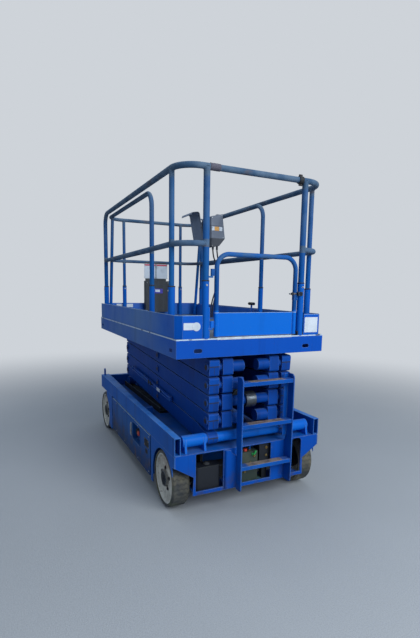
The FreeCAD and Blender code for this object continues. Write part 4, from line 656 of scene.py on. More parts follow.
METALS = {  # colour, stains, roughness, share of stains, metallic
    "bare_steel": ((124, 122, 118), TAN_RUST, 0.4, 0.8),
    "zinc": ((170, 174, 176), TAN_RUST, 0.32, 0.45),
    "sill": ((206, 214, 220), TAN_RUST, 0.4, 0.25, 0.4),
    "black_bolt": ((46, 46, 50), RUST, 0.5, 0.4, 0.5),
    "chrome_rod": ((92, 98, 104), (58, 58, 60), 0.32, 0.6),
    "brass": ((150, 122, 66), (84, 96, 70), 0.35, 0.6),
}
PLASTICS = {  # colour, worn colour, roughness, scuffing, depth of the grain, marks
    # The pump's green is darkened as painted shade of the bay.
    "pump_green": ((48, 62, 54), (78, 82, 66), 0.6, 0.55, 0.0004, unit_shade),
    "battery_plastic": ((34, 36, 40), (84, 86, 90), 0.6),
    "tank_plastic": ((60, 62, 64), (100, 100, 98), 0.6),
    "control_grey": ((104, 112, 128), (134, 140, 152), 0.52, 0.55, 0.0004, unit_light_and_marks),
    "sign_white": ((206, 214, 224), (164, 172, 182), 0.45),
    "document_black": ((26, 32, 40), (58, 66, 76), 0.5, 0.55, 0.0004, papers_marks),
    "cable_black": ((26, 26, 30), (62, 60, 64), 0.6),
    "label_white": ((216, 222, 230), (170, 178, 188), 0.42, 0.4),
    "label_red": ((190, 62, 84), (150, 90, 104), 0.42, 0.3),
    "label_orange": ((226, 160, 72), (190, 150, 110), 0.42, 0.3),
    "label_violet": ((56, 44, 168), (96, 90, 176), 0.42, 0.3),
    "fitting_green": ((36, 158, 72), (70, 130, 80), 0.4, 0.3),
    "button_red": ((196, 60, 44), (150, 70, 60), 0.38, 0.3),
    "grip_black": ((28, 30, 34), (70, 72, 78), 0.7),
    "worn_tape": ((104, 100, 116), (82, 78, 84), 0.75, 0.55, 0.0012),
}
MATERIALS = {}
FINISHES = {  # the starts of the names of the nodes that wear each
    "chassis_blue": ("chassis_frame", "tie_down_lugs", "side_skirts"),
    "rear_blue": ("rear_end",), "pump_green": ("rear_bay_units",), "ladder_blue": ("ladder",),
    "tube_blue": ("pivot_tube",), "chrome_rod": ("lift_cylinder_rod",), "brace_blue": ("maintenance_brace",),
    "dark_steel": ("roller_tracks", "rear_axle", "front_axle", "tie_rod", "knuckle_", "lift_cylinder_barrel"),
    "front_tyre": ("tyre_front",), "rear_tyre": ("tyre_rear",),
    "front_rim": ("rim_front",), "rear_rim": ("rim_rear",),
    "door_blue": ("module_door_",), "battery_plastic": ("battery_tray",), "tank_plastic": ("tank_tray",),
    "arm_blue": ("outer_arms_",), "inner_arm_blue": ("inner_arms_",),
    "deck_blue": ("deck_frame", "deck_channels"), "floor_plate": ("deck_floor",), "toe_blue": ("toe_boards",),
    "rail_blue": ("guardrail_", "extension_rails"), "gate_blue": ("gate",),
    "extension_plate": ("extension_deck",), "control_grey": ("control_box",), "sign_white": ("sign_panels",),
    "document_black": ("document_box",), "cable_black": ("control_cable", "supply_cable"),
}


def make_materials():
    for kind, table in ((painted, PAINTS), (tread_plate, PLATES), (bare_metal, METALS), (moulded, PLASTICS)):
        for name, values in table.items():
            MATERIALS[name] = kind(name, *values)
    for end in ("front", "rear"):
        for kind, name in ((tyre, end + "_tyre"), (rim, end + "_rim")):
            MATERIALS[name] = kind(name, WHEELS[end + "_left"].x)


def dress_frame():
    for name, node in NODES.items():
        finish = next(finish for finish, starts in FINISHES.items() if name.startswith(starts))
        node.data.materials.clear()
        node.data.materials.append(MATERIALS[finish])


# Shapes

MM = 0.001


def mm(profile):
    """A profile given in millimetres."""
    return [(radius * MM, height * MM) for radius, height in profile]


def turns(steps):
    """Cosine and sine of equal steps round a circle."""
    return [(math.cos(2 * math.pi * k / steps), math.sin(2 * math.pi * k / steps)) for k in range(steps)]


def rounded(width, height, radius, steps=4):
    """Outline of a rectangle about its middle, its corners rounded."""
    outline = []
    for sx, sy, start in ((1, 1, 0.0), (-1, 1, 0.5), (-1, -1, 1.0), (1, -1, 1.5)):
        for k in range(steps + 1):
            turn = (start + 0.5 * k / steps) * math.pi
            outline.append((sx * (width / 2 - radius) + radius * math.cos(turn),
                            sy * (height / 2 - radius) + radius * math.sin(turn)))
    return outline


def smooth_path(points, spread=6):
    """Points along the curve that passes through the given ones (Catmull and Rom's rule)."""
    points = [Vector(point) for point in points]
    ends = [2 * points[0] - points[1]] + points + [2 * points[-1] - points[-2]]
    path = []
    for a, b, c, d in zip(ends, ends[1:], ends[2:], ends[3:]):
        for k in range(spread):
            t = k / spread
            path.append(0.5 * (2 * b + (c - a) * t + (2 * a - 5 * b + 4 * c - d) * t * t
                               + (3 * b - a - 3 * c + d) * t ** 3))
    return path + [points[-1]]


def seated(name, mesh, finish, body):
    mesh.materials.clear()
    mesh.materials.append(MATERIALS[finish])
    made = add_object(name, mesh)
    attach(made, body)


class Shape:
    """Solids gathered into one piece of the machine."""

    def __init__(self):
        self.mesh = bmesh.new()

    def slab(self, first, second, edge=0.001):
        """Box with rounded edges between two opposite corners."""
        made = bmesh.ops.create_cube(self.mesh, size=1.0)["verts"]
        for corner in made:
            corner.co = Vector([min(a, b) + abs(b - a) * (c + 0.5)
                                for a, b, c in zip(first, second, corner.co)])
        lines = list({line for corner in made for line in corner.link_edges})
        bmesh.ops.bevel(self.mesh, geom=lines, offset=edge, segments=2, profile=0.5, affect="EDGES")
        return self

    def turned(self, profile, base, facing, steps=24, smooth=True):
        """Profile of (radius, height) spun about the line from base towards facing.

        A profile that starts away from the line is a closed loop and makes a ring.
        """
        place = Matrix.Translation(base) @ Vector(facing).to_track_quat("Z", "Y").to_matrix().to_4x4()
        rings = [[self.mesh.verts.new(place @ Vector((radius * c, radius * s, height)))
                  for c, s in turns(steps if radius > 0 else 1)] for radius, height in profile]
        pairs = list(zip(rings, rings[1:]))
        if profile[0][0] > 0:
            pairs.append((rings[-1], rings[0]))
        for below, above in pairs:
            for k in range(steps):
                after = (k + 1) % steps
                corners = list(dict.fromkeys((below[k % len(below)], below[after % len(below)],
                                              above[after % len(above)], above[k % len(above)])))
                if len(corners) > 2:
                    self.mesh.faces.new(corners).smooth = smooth
        return self

    def plate(self, outline, place, facing, up, thickness):
        """Flat plate of an outline of (across, up) points, its back on place."""
        across = Vector(up).cross(facing)
        back = [self.mesh.verts.new(Vector(place) + across * u + Vector(up) * v) for u, v in outline]
        front = [self.mesh.verts.new(corner.co + facing * thickness) for corner in back]
        self.mesh.faces.new(back)
        self.mesh.faces.new(front)
        for k in range(len(outline)):
            after = (k + 1) % len(outline)
            self.mesh.faces.new((back[k], back[after], front[after], front[k]))
        return self

    def bead(self, path, radius, closed=False, steps=8, ripple=0.0):
        """Round bar, pipe or weld along a path of points; ripple swells it from one point to the next."""
        path = [Vector(point) for point in path]
        count = len(path)
        rings = []
        upward = None
        for k, point in enumerate(path):
            ahead = path[(k + 1) % count] if closed or k + 1 < count else point
            behind = path[k - 1] if closed or k > 0 else point
            along = (ahead - behind).normalized()
            if upward is None:
                upward = along.orthogonal()
            upward = (upward - along * upward.dot(along)).normalized()
            side = along.cross(upward)
            swell = radius * (1.0 + ripple * (1 if k % 2 else -1))
            rings.append([self.mesh.verts.new(point + swell * (c * upward + s * side))
                          for c, s in turns(steps)])
        pairs = list(zip(rings, rings[1:]))
        if closed:
            offset = min(range(steps), key=lambda j: (rings[0][j].co - rings[-1][0].co).length)
            pairs.append((rings[-1], rings[0][offset:] + rings[0][:offset]))
        for first, second in pairs:
            for j in range(steps):
                after = (j + 1) % steps
                self.mesh.faces.new((first[j], first[after], second[after], second[j])).smooth = True
        if not closed:
            self.mesh.faces.new(rings[0])
            self.mesh.faces.new(rings[-1])
        return self

    def data(self, name):
        """The finished mesh."""
        bmesh.ops.recalc_face_normals(self.mesh, faces=self.mesh.faces)
        mesh = bpy.data.meshes.new(name)
        self.mesh.to_mesh(mesh)
        self.mesh.free()
        return mesh

    def piece(self, name, finish, body, slot):
        bmesh.ops.remove_doubles(self.mesh, verts=self.mesh.verts, dist=1e-6)
        seated(name, self.data(name), finish, body)


def turned_piece(name, profile, base, facing, steps, *look):
    """A piece turned from a profile in millimetres; look is its finish, its body and its slot, and the slot is
    not used.
    """
    Shape().turned(mm(profile), base, facing, steps).piece(name, *look)


def slab_piece(name, slabs, *look):
    """A piece of slabs, each two opposite corners and the width of its rounded edges."""
    shape = Shape()
    for slab in slabs:
        shape.slab(*slab)
    shape.piece(name, *look)


# Fasteners, set by Geometry Nodes on points that know their facing and size. Profiles in millimetres.

BOLT_WASHER = ((0, 0), (11, 0), (11, 1.4), (10.4, 1.9), (7.6, 1.9))
BOLT_HEAD = ((7.6, 1.9), (7.6, 5.6), (6.6, 6.4), (0, 6.4))
BUTTON_HEAD = ((0, 0), (6, 0), (5.6, 1.4), (4.0, 2.5), (2.2, 2.9), (2.0, 1.6), (0, 1.6))
RIVET = ((0, 0), (3.2, 0), (3.0, 0.8), (1.9, 1.5), (0, 1.7))
PIN_CAP = ((0, 0), (19, 0), (19, 1.0), (17.5, 1.6), (15.5, 1.2), (13.5, 1.6), (11, 2.8), (5, 3.2), (4, 1.4),
           (0, 1.4))
STUD = ((0, 0), (2.6, 0), (2.2, 0.9), (1.2, 1.3), (0, 1.3))
FORM_PARTS = {  # profile and number of sides of each part
    "hex_bolt": ((BOLT_WASHER, 20), (BOLT_HEAD, 6)), "button_head": ((BUTTON_HEAD, 12),),
    "rivet": ((RIVET, 10),), "pin_cap": ((PIN_CAP, 24),), "stud": ((STUD, 8),),
}
SPIN = 6.0


def form(name, parts):
    """The shape of one fastener about the Z axis."""
    shape = Shape()
    for profile, sides in parts:
        shape.turned(mm(profile), (0, 0, 0), Z, sides, smooth=sides > 6)
    return bpy.data.objects.new(name, shape.data(name))


def fastener_tree():
    """Sets the form on every point, turned to its facing, spun by a seeded angle and scaled to its size."""
    tree = bpy.data.node_groups.new("set_fasteners", "GeometryNodeTree")
    for label, kind in (("Points", "Geometry"), ("Form", "Object"), ("Finish", "Material"), ("Spin", "Float"),
                        ("Seed", "Int")):
        tree.interface.new_socket(label, in_out="INPUT", socket_type="NodeSocket" + kind)
    tree.interface.new_socket("Fasteners", in_out="OUTPUT", socket_type="NodeSocketGeometry")
    given = add_node(tree, "NodeGroupInput").outputs

    def made(kind, output, inputs, **settings):
        return add_node(tree, kind, inputs, **settings).outputs[output]
    facing = made("GeometryNodeInputNamedAttribute", "Attribute", {"Name": "facing"}, data_type="FLOAT_VECTOR")
    size = made("GeometryNodeInputNamedAttribute", "Attribute", {"Name": "size"}, data_type="FLOAT")
    aim = made("FunctionNodeAlignRotationToVector", "Rotation", {"Vector": facing}, axis="Z")
    angle = made("FunctionNodeRandomValue", "Value", {"Max": given["Spin"], "Seed": given["Seed"]},
                 data_type="FLOAT")
    spin = made("FunctionNodeAxisAngleToRotation", "Rotation", {"Axis": Z, "Angle": angle})
    turn = made("FunctionNodeRotateRotation", "Rotation", {"Rotation": aim, "Rotate By": spin},
                rotation_space="LOCAL")
    shape = made("GeometryNodeObjectInfo", "Geometry", {"Object": given["Form"]})
    placed = made("GeometryNodeInstanceOnPoints", "Instances",
                  {"Points": given["Points"], "Instance": shape, "Rotation": turn, "Scale": size})
    real = made("GeometryNodeRealizeInstances", "Geometry", {"Geometry": placed})
    coated = made("GeometryNodeSetMaterial", "Geometry", {"Geometry": real, "Material": given["Finish"]})
    add_node(tree, "NodeGroupOutput", {"Fasteners": coated})
    return tree


FASTENER_TREE = fastener_tree()
FORMS = {kind: form(kind + "_form", parts) for kind, parts in FORM_PARTS.items()}


def fasteners(name, kind, spots, finish, body, seed):
    """One piece of like fasteners; each spot is its place, its facing and its size."""
    mesh = bpy.data.meshes.new(name + "_points")
    mesh.from_pydata([tuple(place) for place, facing, size in spots], [], [])
    mesh.attributes.new("facing", "FLOAT_VECTOR", "POINT")
    mesh.attributes.new("size", "FLOAT", "POINT")
    for k, (place, facing, size) in enumerate(spots):
        mesh.attributes["facing"].data[k].vector = facing
        mesh.attributes["size"].data[k].value = size
    holder = add_object(name + "_points", mesh)
    setter = holder.modifiers.new("set_fasteners", "NODES")
    setter.node_group = FASTENER_TREE
    values = {"Form": FORMS[kind], "Finish": MATERIALS[finish], "Spin": SPIN, "Seed": seed}
    for item in FASTENER_TREE.interface.items_tree:
        if item.name in values:
            setter[item.identifier] = values[item.name]
    holder.update_tag()
    bpy.context.view_layer.update()
    seen = holder.evaluated_get(bpy.context.evaluated_depsgraph_get())
    made = bpy.data.meshes.new_from_object(seen)
    made.name = name
    holder.modifiers.remove(setter)
    bpy.data.objects.remove(holder)
    seated(name, made, finish, body)


# Cables from the control unit to the deck: place along X, length, and the offsets of the route's points
# from the rail in Y, from the top down, in metres

CABLE_TOP_Z = 1.957
CABLE_LOW_Z = 1.263
CABLE_D = 0.014
CABLE_RAIL_Y = -0.504
CABLES = {
    "control_cable": (0.3535, 0.712, (0.118, 0.114, 0.084, 0.064, 0.058, 0.060, 0.070, 0.090, 0.112, 0.126,
                                      0.132, 0.134)),
    "supply_cable": (0.3775, 0.702, (0.060, 0.052, 0.038, 0.034, 0.037, 0.043, 0.051, 0.062, 0.078, 0.093,
                                     0.102, 0.104)),
}


def cables():
    for node, (x, length, offsets) in CABLES.items():
        fall = (CABLE_TOP_Z - CABLE_LOW_Z) / (len(offsets) - 1)
        route = [(x, CABLE_RAIL_Y + offset, CABLE_TOP_Z - k * fall) for k, offset in enumerate(offsets)]
        curve = bpy.data.curves.new(node + "_sheath", "CURVE")
        curve.dimensions = "3D"
        curve.bevel_depth = CABLE_D / 2
        curve.bevel_resolution = 4
        curve.use_fill_caps = True
        line = curve.splines.new("NURBS")
        line.points.add(len(route) - 1)
        for point, place in zip(line.points, route):
            point.co = (*place, 1.0)
        line.order_u = 3
        line.use_endpoint_u = True
        line.resolution_u = 8
        curve.materials.append(MATERIALS["cable_black"])
        sheath = add_object(node + "_sheath", curve)
        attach(sheath, "extension")
        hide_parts(node)


# Running gear

HUB_CAP = ((0, 0), (50, 0), (50, 1.2), (47, 2.6), (33, 3.0), (31, 1.6), (29, 3.4), (20, 5.6), (6, 6.6), (5, 9.0),
           (3, 10.0), (0, 10.0))
RIM_BEAD = ((160, 0), (163, 0.0), (163.6, 1.2), (162, 2.2), (160.4, 1.6))
SET_IN = 0.001
NUT_SIZE = 1.35


def wheel_fittings():
    """Hub cap, grease nipple, rim bead and wheel nuts of each wheel."""
    for name, centre in WHEELS.items():
        outward = Y if centre.y > 0 else -Y
        face = Vector((centre.x, 0, centre.z))
        shape = Shape().turned(mm(HUB_CAP), face + outward * (HUB_FACE_Y - SET_IN), outward, 40)
        shape.turned(mm(RIM_BEAD), face + outward * (RIM_FACE_Y - SET_IN), outward, 72)
        shape.piece("hub_cap_" + name, "dark_steel", "wheel_" + name, "dark_steel")
        spots = []
        for k in range(NUTS):
            turn = 2 * math.pi * (k + 0.25) / NUTS
            spot = face + outward * RIM_FACE_Y + NUT_CIRCLE * (math.cos(turn) * X + math.sin(turn) * Z)
            spots.append((spot, outward, NUT_SIZE))
        fasteners("wheel_nuts_" + name, "hex_bolt", spots, "black_bolt", "wheel_" + name, 3)


# Scissor stack

def stack_fittings():
    """Caps on the pins of the inner arms, where their heads stand beside the outer arms."""
    for level in range(1, PAIRS + 1):
        spots = []
        for along in [ARM_L / 2] + ([0.0] if level < PAIRS else []) + ([ARM_L] if level > 1 else []):
            x = STACK_X + along * math.cos(STOWED)
            z = STACK_Z + level * PITCH - along * math.sin(STOWED)
            spots += [(Vector((x, side * PIN_FACE_Y, z)), side * Y, 1.0) for side in (1, -1)]
        fasteners(f"pin_caps_{level}", "pin_cap", spots, "black_bolt", f"inner_{level}", level)


BRACE_Z = STACK_Z + PITCH - 0.035
BRACE_LABEL_X = MIDDLE_X - 0.16
CATCH_X = MIDDLE_X + 0.0825
CATCH_REACH = 0.0325


def brace_fittings():
    """Blank label and dark catch on the stowed maintenance brace."""
    rise = Vector((-math.sin(STOWED), 0, math.cos(STOWED)))

    def on_brace(x, proud=0.0):
        return Vector((x, BRACE_FACE + proud, BRACE_Z + (x - STACK_X) * math.tan(STOWED)))
    label = Shape().plate(rounded(0.085, 0.030, 0.003), on_brace(BRACE_LABEL_X), Y, rise, 0.0008)
    label.piece("brace_label", "label_white", "outer_2", "sign_white")
    slabs = [(on_brace(x) - Vector((0.011, 0.004, 0.019)), on_brace(x) + Vector((0.011, 0.006, 0.019)), 0.002)
             for x in (CATCH_X - CATCH_REACH, CATCH_X + CATCH_REACH)]
    bar = on_brace(CATCH_X) + Vector((0.0, 0.0, 0.006))
    slabs.append((bar - Vector((0.040, 0.001, 0.005)), bar + Vector((0.040, 0.005, 0.005)), 0.0015))
    slab_piece("brace_catch", slabs, "grip_black", "outer_2", "dark_steel")


# Rear end and ladder

RUNGS = 3
RUNG_TOP_Z = DECK_TOP - 0.302
RUNG_PITCH = 0.300
STUD_ROWS = 3
STUDS = 19
STUD_PITCH = 0.019
PUMP = Vector((UNITS_FACE + 0.030, 0.0, 0.385))
PUMP_PIPES = (  # radius, points from the pump's top
    (0.0065, ((0.0, -0.017, -0.004), (0.0, -0.018, 0.018), (0.010, -0.030, 0.038), (0.035, -0.062, 0.042),
              (0.050, -0.086, 0.030))),
    (0.0055, ((0.010, 0.045, -0.004), (0.010, 0.046, 0.016), (0.030, 0.050, 0.032), (0.070, 0.050, 0.040))),
)
PIPE_NUTS = ((0.0, -0.017, -0.001), (0.010, 0.045, -0.001))
NUT = ((0, 0), (12, 0), (12, 8), (10.5, 9.5), (0, 9.5))
PLUG = ((0, 0), (11, 0), (11, 5), (9.5, 6.5), (4.5, 6.5), (4.5, 3.5), (0, 3.5))
PLUG_X = UNITS_FACE + 0.0005
PLUG_YZ = ((-0.040, 0.350), (-0.010, 0.300), (0.038, 0.240), (-0.142, 0.400), (-0.142, 0.340))
ELBOW_YZ = (-0.026, 0.366)
ELBOW = ((-0.008, *ELBOW_YZ), (-0.016, -0.029, 0.369), (-0.019, -0.036, 0.380), (-0.018, -0.042, 0.395))
FILLER_CAP = ((0, 0), (14, 0), (14.5, 4), (14.5, 15), (12.5, 18), (0, 18))
RESERVOIR_LID = ((0, 0), (24, 0), (26, 3), (26, 9), (23, 13), (9, 14), (8, 18), (0, 18))


def rear_fittings():
    """Studs on the rungs, and the pump's pipes, nuts, plugs, cap and lid."""
    studs = []
    for rung in range(RUNGS):
        for row in range(STUD_ROWS):
            for k in range(STUDS):
                y = LADDER_LOW.y + 0.034 + STUD_PITCH * k + (STUD_PITCH / 2 if row % 2 else 0.0)
                place = Vector((LADDER_LOW.x + 0.018 + 0.015 * row, y, RUNG_TOP_Z - RUNG_PITCH * rung))
                studs.append((place, Z, 1.0))
    fasteners("rung_studs", "stud", studs, "bare_steel", "chassis", 6)
    pipes = Shape()
    for radius, points in PUMP_PIPES:
        pipes.bead(smooth_path([PUMP + Vector(point) for point in points]), radius)
    pipes.piece("pump_pipes", "brace_blue", "chassis", "pump_green")
    fittings = Shape()
    for place in PIPE_NUTS:
        fittings.turned(mm(NUT), PUMP + Vector(place), Z, 6, False)
    for place in PLUG_YZ:
        fittings.turned(mm(PLUG), (PLUG_X, *place), -X, 6, False)
    fittings.piece("pump_fittings", "brass", "chassis", "pump_green")
    elbow = Shape().turned(mm(NUT), (PLUG_X, *ELBOW_YZ), -X, 6, False)
    elbow.bead(smooth_path([(UNITS_FACE + x, y, z) for x, y, z in ELBOW]), 0.007)
    elbow.piece("pump_elbow", "fitting_green", "chassis", "pump_green")
    turned_piece("filler_cap", FILLER_CAP, PUMP + Vector((0.0, 0.020, -0.001)), Z, 20,
                 "button_red", "chassis", "pump_green")
    turned_piece("reservoir_lid", RESERVOIR_LID, (UNITS_FACE + 0.046, 0.330, 0.3292), Z, 24,
                 "grip_black", "chassis", "battery_plastic")


# Side modules: x from the machine's middle and z of what their doors carry

RECESS = -0.045
RECESS_XZ = (-0.2525, 0.3225)
BUTTON_XZ = (-0.261, 0.325)
STOP_BUTTON = ((0, 0), (15, 0), (15, 10), (11, 12), (11, 18), (21, 20), (23, 26), (20, 32), (10, 35), (0, 35.5))
INLET_XZ = (-0.190, 0.318)
INLET = ((0, 0), (26, 0), (27, 3), (27, 20), (24, 23), (21, 20), (21, 6), (0, 6))
LATCH_XZ = (-0.090, 0.318)
BLANK_X = -0.545
SCREW_X = (-0.605, -0.30, 0.15, 0.46)
SCREW_Z = (0.128, 0.408)
SUNK = 0.0002


def door_fittings():
    """Stop button, charger inlet, latch, two blank plates and screws on each side module's door."""
    for name, side in (("left", 1), ("right", -1)):
        body = "module_" + name
        outward = side * Y

        def on_door(x, z, proud=0.0):
            return Vector((MIDDLE_X + x, side * (DOOR_HIGH.y + proud), z))

        def flat(shape, size, x, z, thickness, proud=0.0):
            shape.plate(rounded(*size), on_door(x, z, proud - SUNK), outward, Z, thickness)
        turned_piece("stop_button_" + name, STOP_BUTTON, on_door(*BUTTON_XZ, RECESS), outward, 28,
                     "button_red", body, "dark_steel")
        inlet = Shape().turned(mm(INLET), on_door(*INLET_XZ, RECESS), outward, 28)
        flat(inlet, (0.062, 0.062, 0.008), *INLET_XZ, 0.004, RECESS)
        inlet.slab(on_door(-0.338, 0.292, RECESS - 0.001), on_door(-0.306, 0.352, RECESS + 0.022), 0.004)
        inlet.piece("charger_inlet_" + name, "grip_black", body, "dark_steel")
        outline = [on_door(RECESS_XZ[0] + u, RECESS_XZ[1] + v, 0.0005)
                   for u, v in rounded(0.236, 0.160, 0.018, 5)]
        edge = Shape().bead(outline, 0.0024, closed=True, steps=6)
        edge.piece("recess_rim_" + name, "door_blue", body, "blue_paint")
        latch = Shape()
        flat(latch, (0.034, 0.120, 0.006), *LATCH_XZ, 0.0025)
        latch.slab(on_door(-0.098, 0.270, 0.002), on_door(-0.082, 0.366, 0.009), 0.003)
        latch.piece("door_latch_" + name, "zinc", body, "bare_steel")
        blank = Shape()
        flat(blank, (0.118, 0.066, 0.004), BLANK_X, 0.340, 0.0014)
        flat(blank, (0.060, 0.040, 0.004), BLANK_X, 0.272, 0.0014)
        blank.piece("blank_plate_" + name, "dark_steel", body, "dark_steel")
        spots = [(on_door(x, z), outward, 1.0) for x in SCREW_X for z in SCREW_Z]
        spots += [(on_door(BLANK_X + dx, z, 0.001), outward, 0.8)
                  for dx in (-0.050, 0.050) for z in (0.316, 0.364)]
        fasteners("door_screws_" + name, "button_head", spots, "zinc", body, 8)


# Platform

WELD_R = 0.0034
WELD_STEPS = 36
RIPPLE = 0.12


def saddle(shape, place, post_r, rail_r, rail_axis, post_axis):
    """Weld bead where a post meets the side of a rail."""
    across = rail_axis.cross(post_axis)
    path = []
    for c, s in turns(WELD_STEPS):
        off = post_r * s
        depth = math.sqrt(max(rail_r ** 2 - off ** 2, 0.0))
        path.append(place + post_r * c * rail_axis + off * across + depth * post_axis)
    shape.bead(path, WELD_R, closed=True, steps=6, ripple=RIPPLE)


def rail_welds():
    """Weld beads of the fixed rails and of the rails that roll out."""
    fixed = Shape()
    for y in (RAIL_Y, -RAIL_Y):
        saddle(fixed, Vector((RAIL_SIDE, y, RAIL_Z)), SIDE_POST_R, RAIL_R, X, -Z)
        for way in (Z, -Z):
            saddle(fixed, Vector((RAIL_SIDE, y, MID_Z)), SIDE_POST_R, MID_RAIL_R, X, way)
        saddle(fixed, Vector((RAIL_FRONT, y, MID_Z)), MID_RAIL_R, RAIL_R, Z, -X)
    for y, way in ((POST_LEFT_Y, Y), (POST_RIGHT_Y, -Y)):
        saddle(fixed, Vector((RAIL_REAR, y, RAIL_Z)), REAR_POST_R, RAIL_R, Y, -Z)
        saddle(fixed, Vector((RAIL_REAR, y, MID_Z)), MID_RAIL_R, REAR_POST_R, Z, way)
    fixed.piece("guardrail_welds", "rail_blue", "platform", "worn_rail_blue")
    rolled = Shape()
    for side in (1, -1):
        saddle(rolled, Vector((EXT_REAR, side * EXT_Y, EXT_MID_Z)), EXT_MID_R, EXT_RAIL_R, Z, X)
        post = Vector((EXT_FRONT, side * EXT_POST_Y, 0))
        saddle(rolled, post + EXT_Z * Z, EXT_SLIM_R, EXT_RAIL_R, Y, -Z)
        for way in (Z, -Z):
            saddle(rolled, post + EXT_MID_Z * Z, EXT_SLIM_R, EXT_MID_R, Y, way)
    rolled.piece("extension_welds", "rail_blue", "extension", "worn_rail_blue")


BOLT_DROP = 0.026


def sockets():
    """Weld at each socket's foot, the rolled collar at its mouth and the bolt through it."""
    fixed = [(RAIL_REAR, y, REAR_POST_R, SOCKET_REAR_Z, -X) for y in (POST_LEFT_Y, POST_RIGHT_Y)]
    rolled = []
    for side in (1, -1):
        fixed += [(x, side * RAIL_Y, post_r, SOCKET_SIDE_Z, side * Y)
                  for x, post_r in ((RAIL_SIDE, SIDE_POST_R), (RAIL_FRONT, RAIL_R))]
        rolled += [(EXT_REAR, side * EXT_Y, EXT_RAIL_R, EXT_SOCKET_Z, -side * Y),
                   (EXT_FRONT, side * EXT_POST_Y, EXT_SLIM_R, EXT_SOCKET_Z, -X)]
    for body, places, radius, floor_z in (("platform", fixed, SOCKET_R, DECK_TOP),
                                          ("extension", rolled, EXT_SOCKET_R, EXT_FLOOR)):
        collars = Shape()
        beads = Shape()
        bolts = []
        for x, y, post_r, top, outward in places:
            ring = [(post_r + 0.0003, -0.001), (radius + 0.0012, -0.001), (radius + 0.0016, 0.004),
                    (radius - 0.0005, 0.0065), (post_r + 0.0003, 0.007)]
            collars.turned(ring, (x, y, top), Z, 28)
            foot = [(x + radius * c, y + radius * s, floor_z + 0.001) for c, s in turns(40)]
            beads.bead(foot, 0.0036, closed=True, steps=6, ripple=RIPPLE)
            bolts.append((Vector((x, y, top - BOLT_DROP)) + outward * (radius - 0.0006), outward, 0.65))
        collars.piece("socket_collars_" + body, "dark_steel", body, "dark_steel")
        beads.piece("socket_welds_" + body, "toe_blue", body, "deck_blue")
        fasteners("socket_bolts_" + body, "hex_bolt", bolts, "zinc", body, 11)


TAPE_R = 0.0222
TAPE_TURNS = 26
TAPE_Y = 0.360
TAPE_LONG = 0.072
CLAMP = ((20.3, 0), (25.5, 0), (26.5, 3), (26.5, 31), (25.5, 34), (20.3, 34))
CLAMP_Y = -0.325


def rail_wraps():
    """Tape wound round the rear top rail, and the dark clamp beside the right rear post."""
    tape = Shape()
    for k in range(TAPE_TURNS):
        swell = TAPE_R + 0.0004 * math.sin(2.4 * k) + 0.0003 * (k % 2)
        ring = [(swell - 0.003, 0), (swell, 0.0002), (swell + 0.0003, 0.0017), (swell - 0.0001, 0.0032),
                (swell - 0.003, 0.0034)]
        tape.turned(ring, (RAIL_REAR, TAPE_Y - TAPE_LONG * k / TAPE_TURNS, RAIL_Z), -Y, 28)
    tape.piece("rail_tape", "worn_tape", "platform", "worn_rail_blue")
    clamp = Shape().turned(mm(CLAMP), (RAIL_REAR, CLAMP_Y, RAIL_Z), -Y, 28)
    for way in (1, -1):
        clamp.slab((RAIL_REAR - 0.005, CLAMP_Y - 0.003, RAIL_Z + way * 0.024),
                   (RAIL_REAR + 0.005, CLAMP_Y - 0.031, RAIL_Z + way * 0.038), 0.002)
    clamp.piece("rail_clamp", "grip_black", "platform", "dark_steel")
    spots = [(Vector((RAIL_REAR - 0.005, CLAMP_Y - 0.017, RAIL_Z + way * 0.031)), -X, 0.6) for way in (1, -1)]
    fasteners("clamp_bolts", "hex_bolt", spots, "black_bolt", "platform", 12)


GATE_BOLT = ((0, 0), (5, 0), (6, 2), (6, 20), (9.5, 21), (9.5, 27), (7, 28), (7, 44), (5.5, 46), (5.5, 60),
             (0, 62))
GATE_KNOB = ((0, 0), (6, 0), (6, 5), (11, 8), (12.5, 13), (11, 18), (6, 20), (0, 20))
BOLT_Z = GATE_LOW.z + 0.290
KEEPER_Y = -0.343


def gate_fittings():
    """Spring bolt on the gate, its keeper and rubber stop on the post, and the worn threshold strip."""
    x = RAIL_REAR
    low, high = BOLT_Z - 0.014, BOLT_Z + 0.014
    turned_piece("gate_bolt", GATE_BOLT, (x - 0.016, -0.275, BOLT_Z), -Y, 20, "zinc", "gate", "bare_steel")
    turned_piece("gate_knob", GATE_KNOB, (x - 0.022, -0.290, BOLT_Z), -X, 20,
                 "grip_black", "gate", "dark_steel")
    slab_piece("gate_keeper", [((x - 0.030, POST_RIGHT_Y + 0.001, low), (x - 0.0215, KEEPER_Y, high), 0.002),
                               ((x - 0.036, KEEPER_Y - 0.006, low), (x - 0.003, KEEPER_Y, high), 0.002)],
               "dark_steel", "platform", "dark_steel")
    slab_piece("gate_stop", [((x - 0.026, POST_RIGHT_Y + 0.0245, DECK_TOP + 0.001),
                              (x + 0.018, -0.353, DECK_TOP + 0.030), 0.004)],
               "grip_black", "platform", "dark_steel")
    slab_piece("gate_threshold", [((FLOOR_LOW.x - 0.0012, -0.308, DECK_TOP - 0.012),
                                   (FLOOR_LOW.x + 0.026, 0.297, DECK_TOP + 0.0035), 0.0015)],
               "sill", "platform", "bare_steel")
    rivets = [(Vector((FLOOR_LOW.x + 0.013, -0.285 + 0.095 * k, DECK_TOP + 0.0034)), Z, 1.1) for k in range(7)]
    rivets += [(Vector((x - 0.003, y, DECK_TOP + 0.055)), -X, 1.4) for y in (0.347, 0.360)]
    fasteners("platform_rivets", "rivet", rivets, "zinc", "platform", 13)


# Blank plates and stickers that face the rear: name, width, height and corner radius, the middle of the back,
# thickness and finish

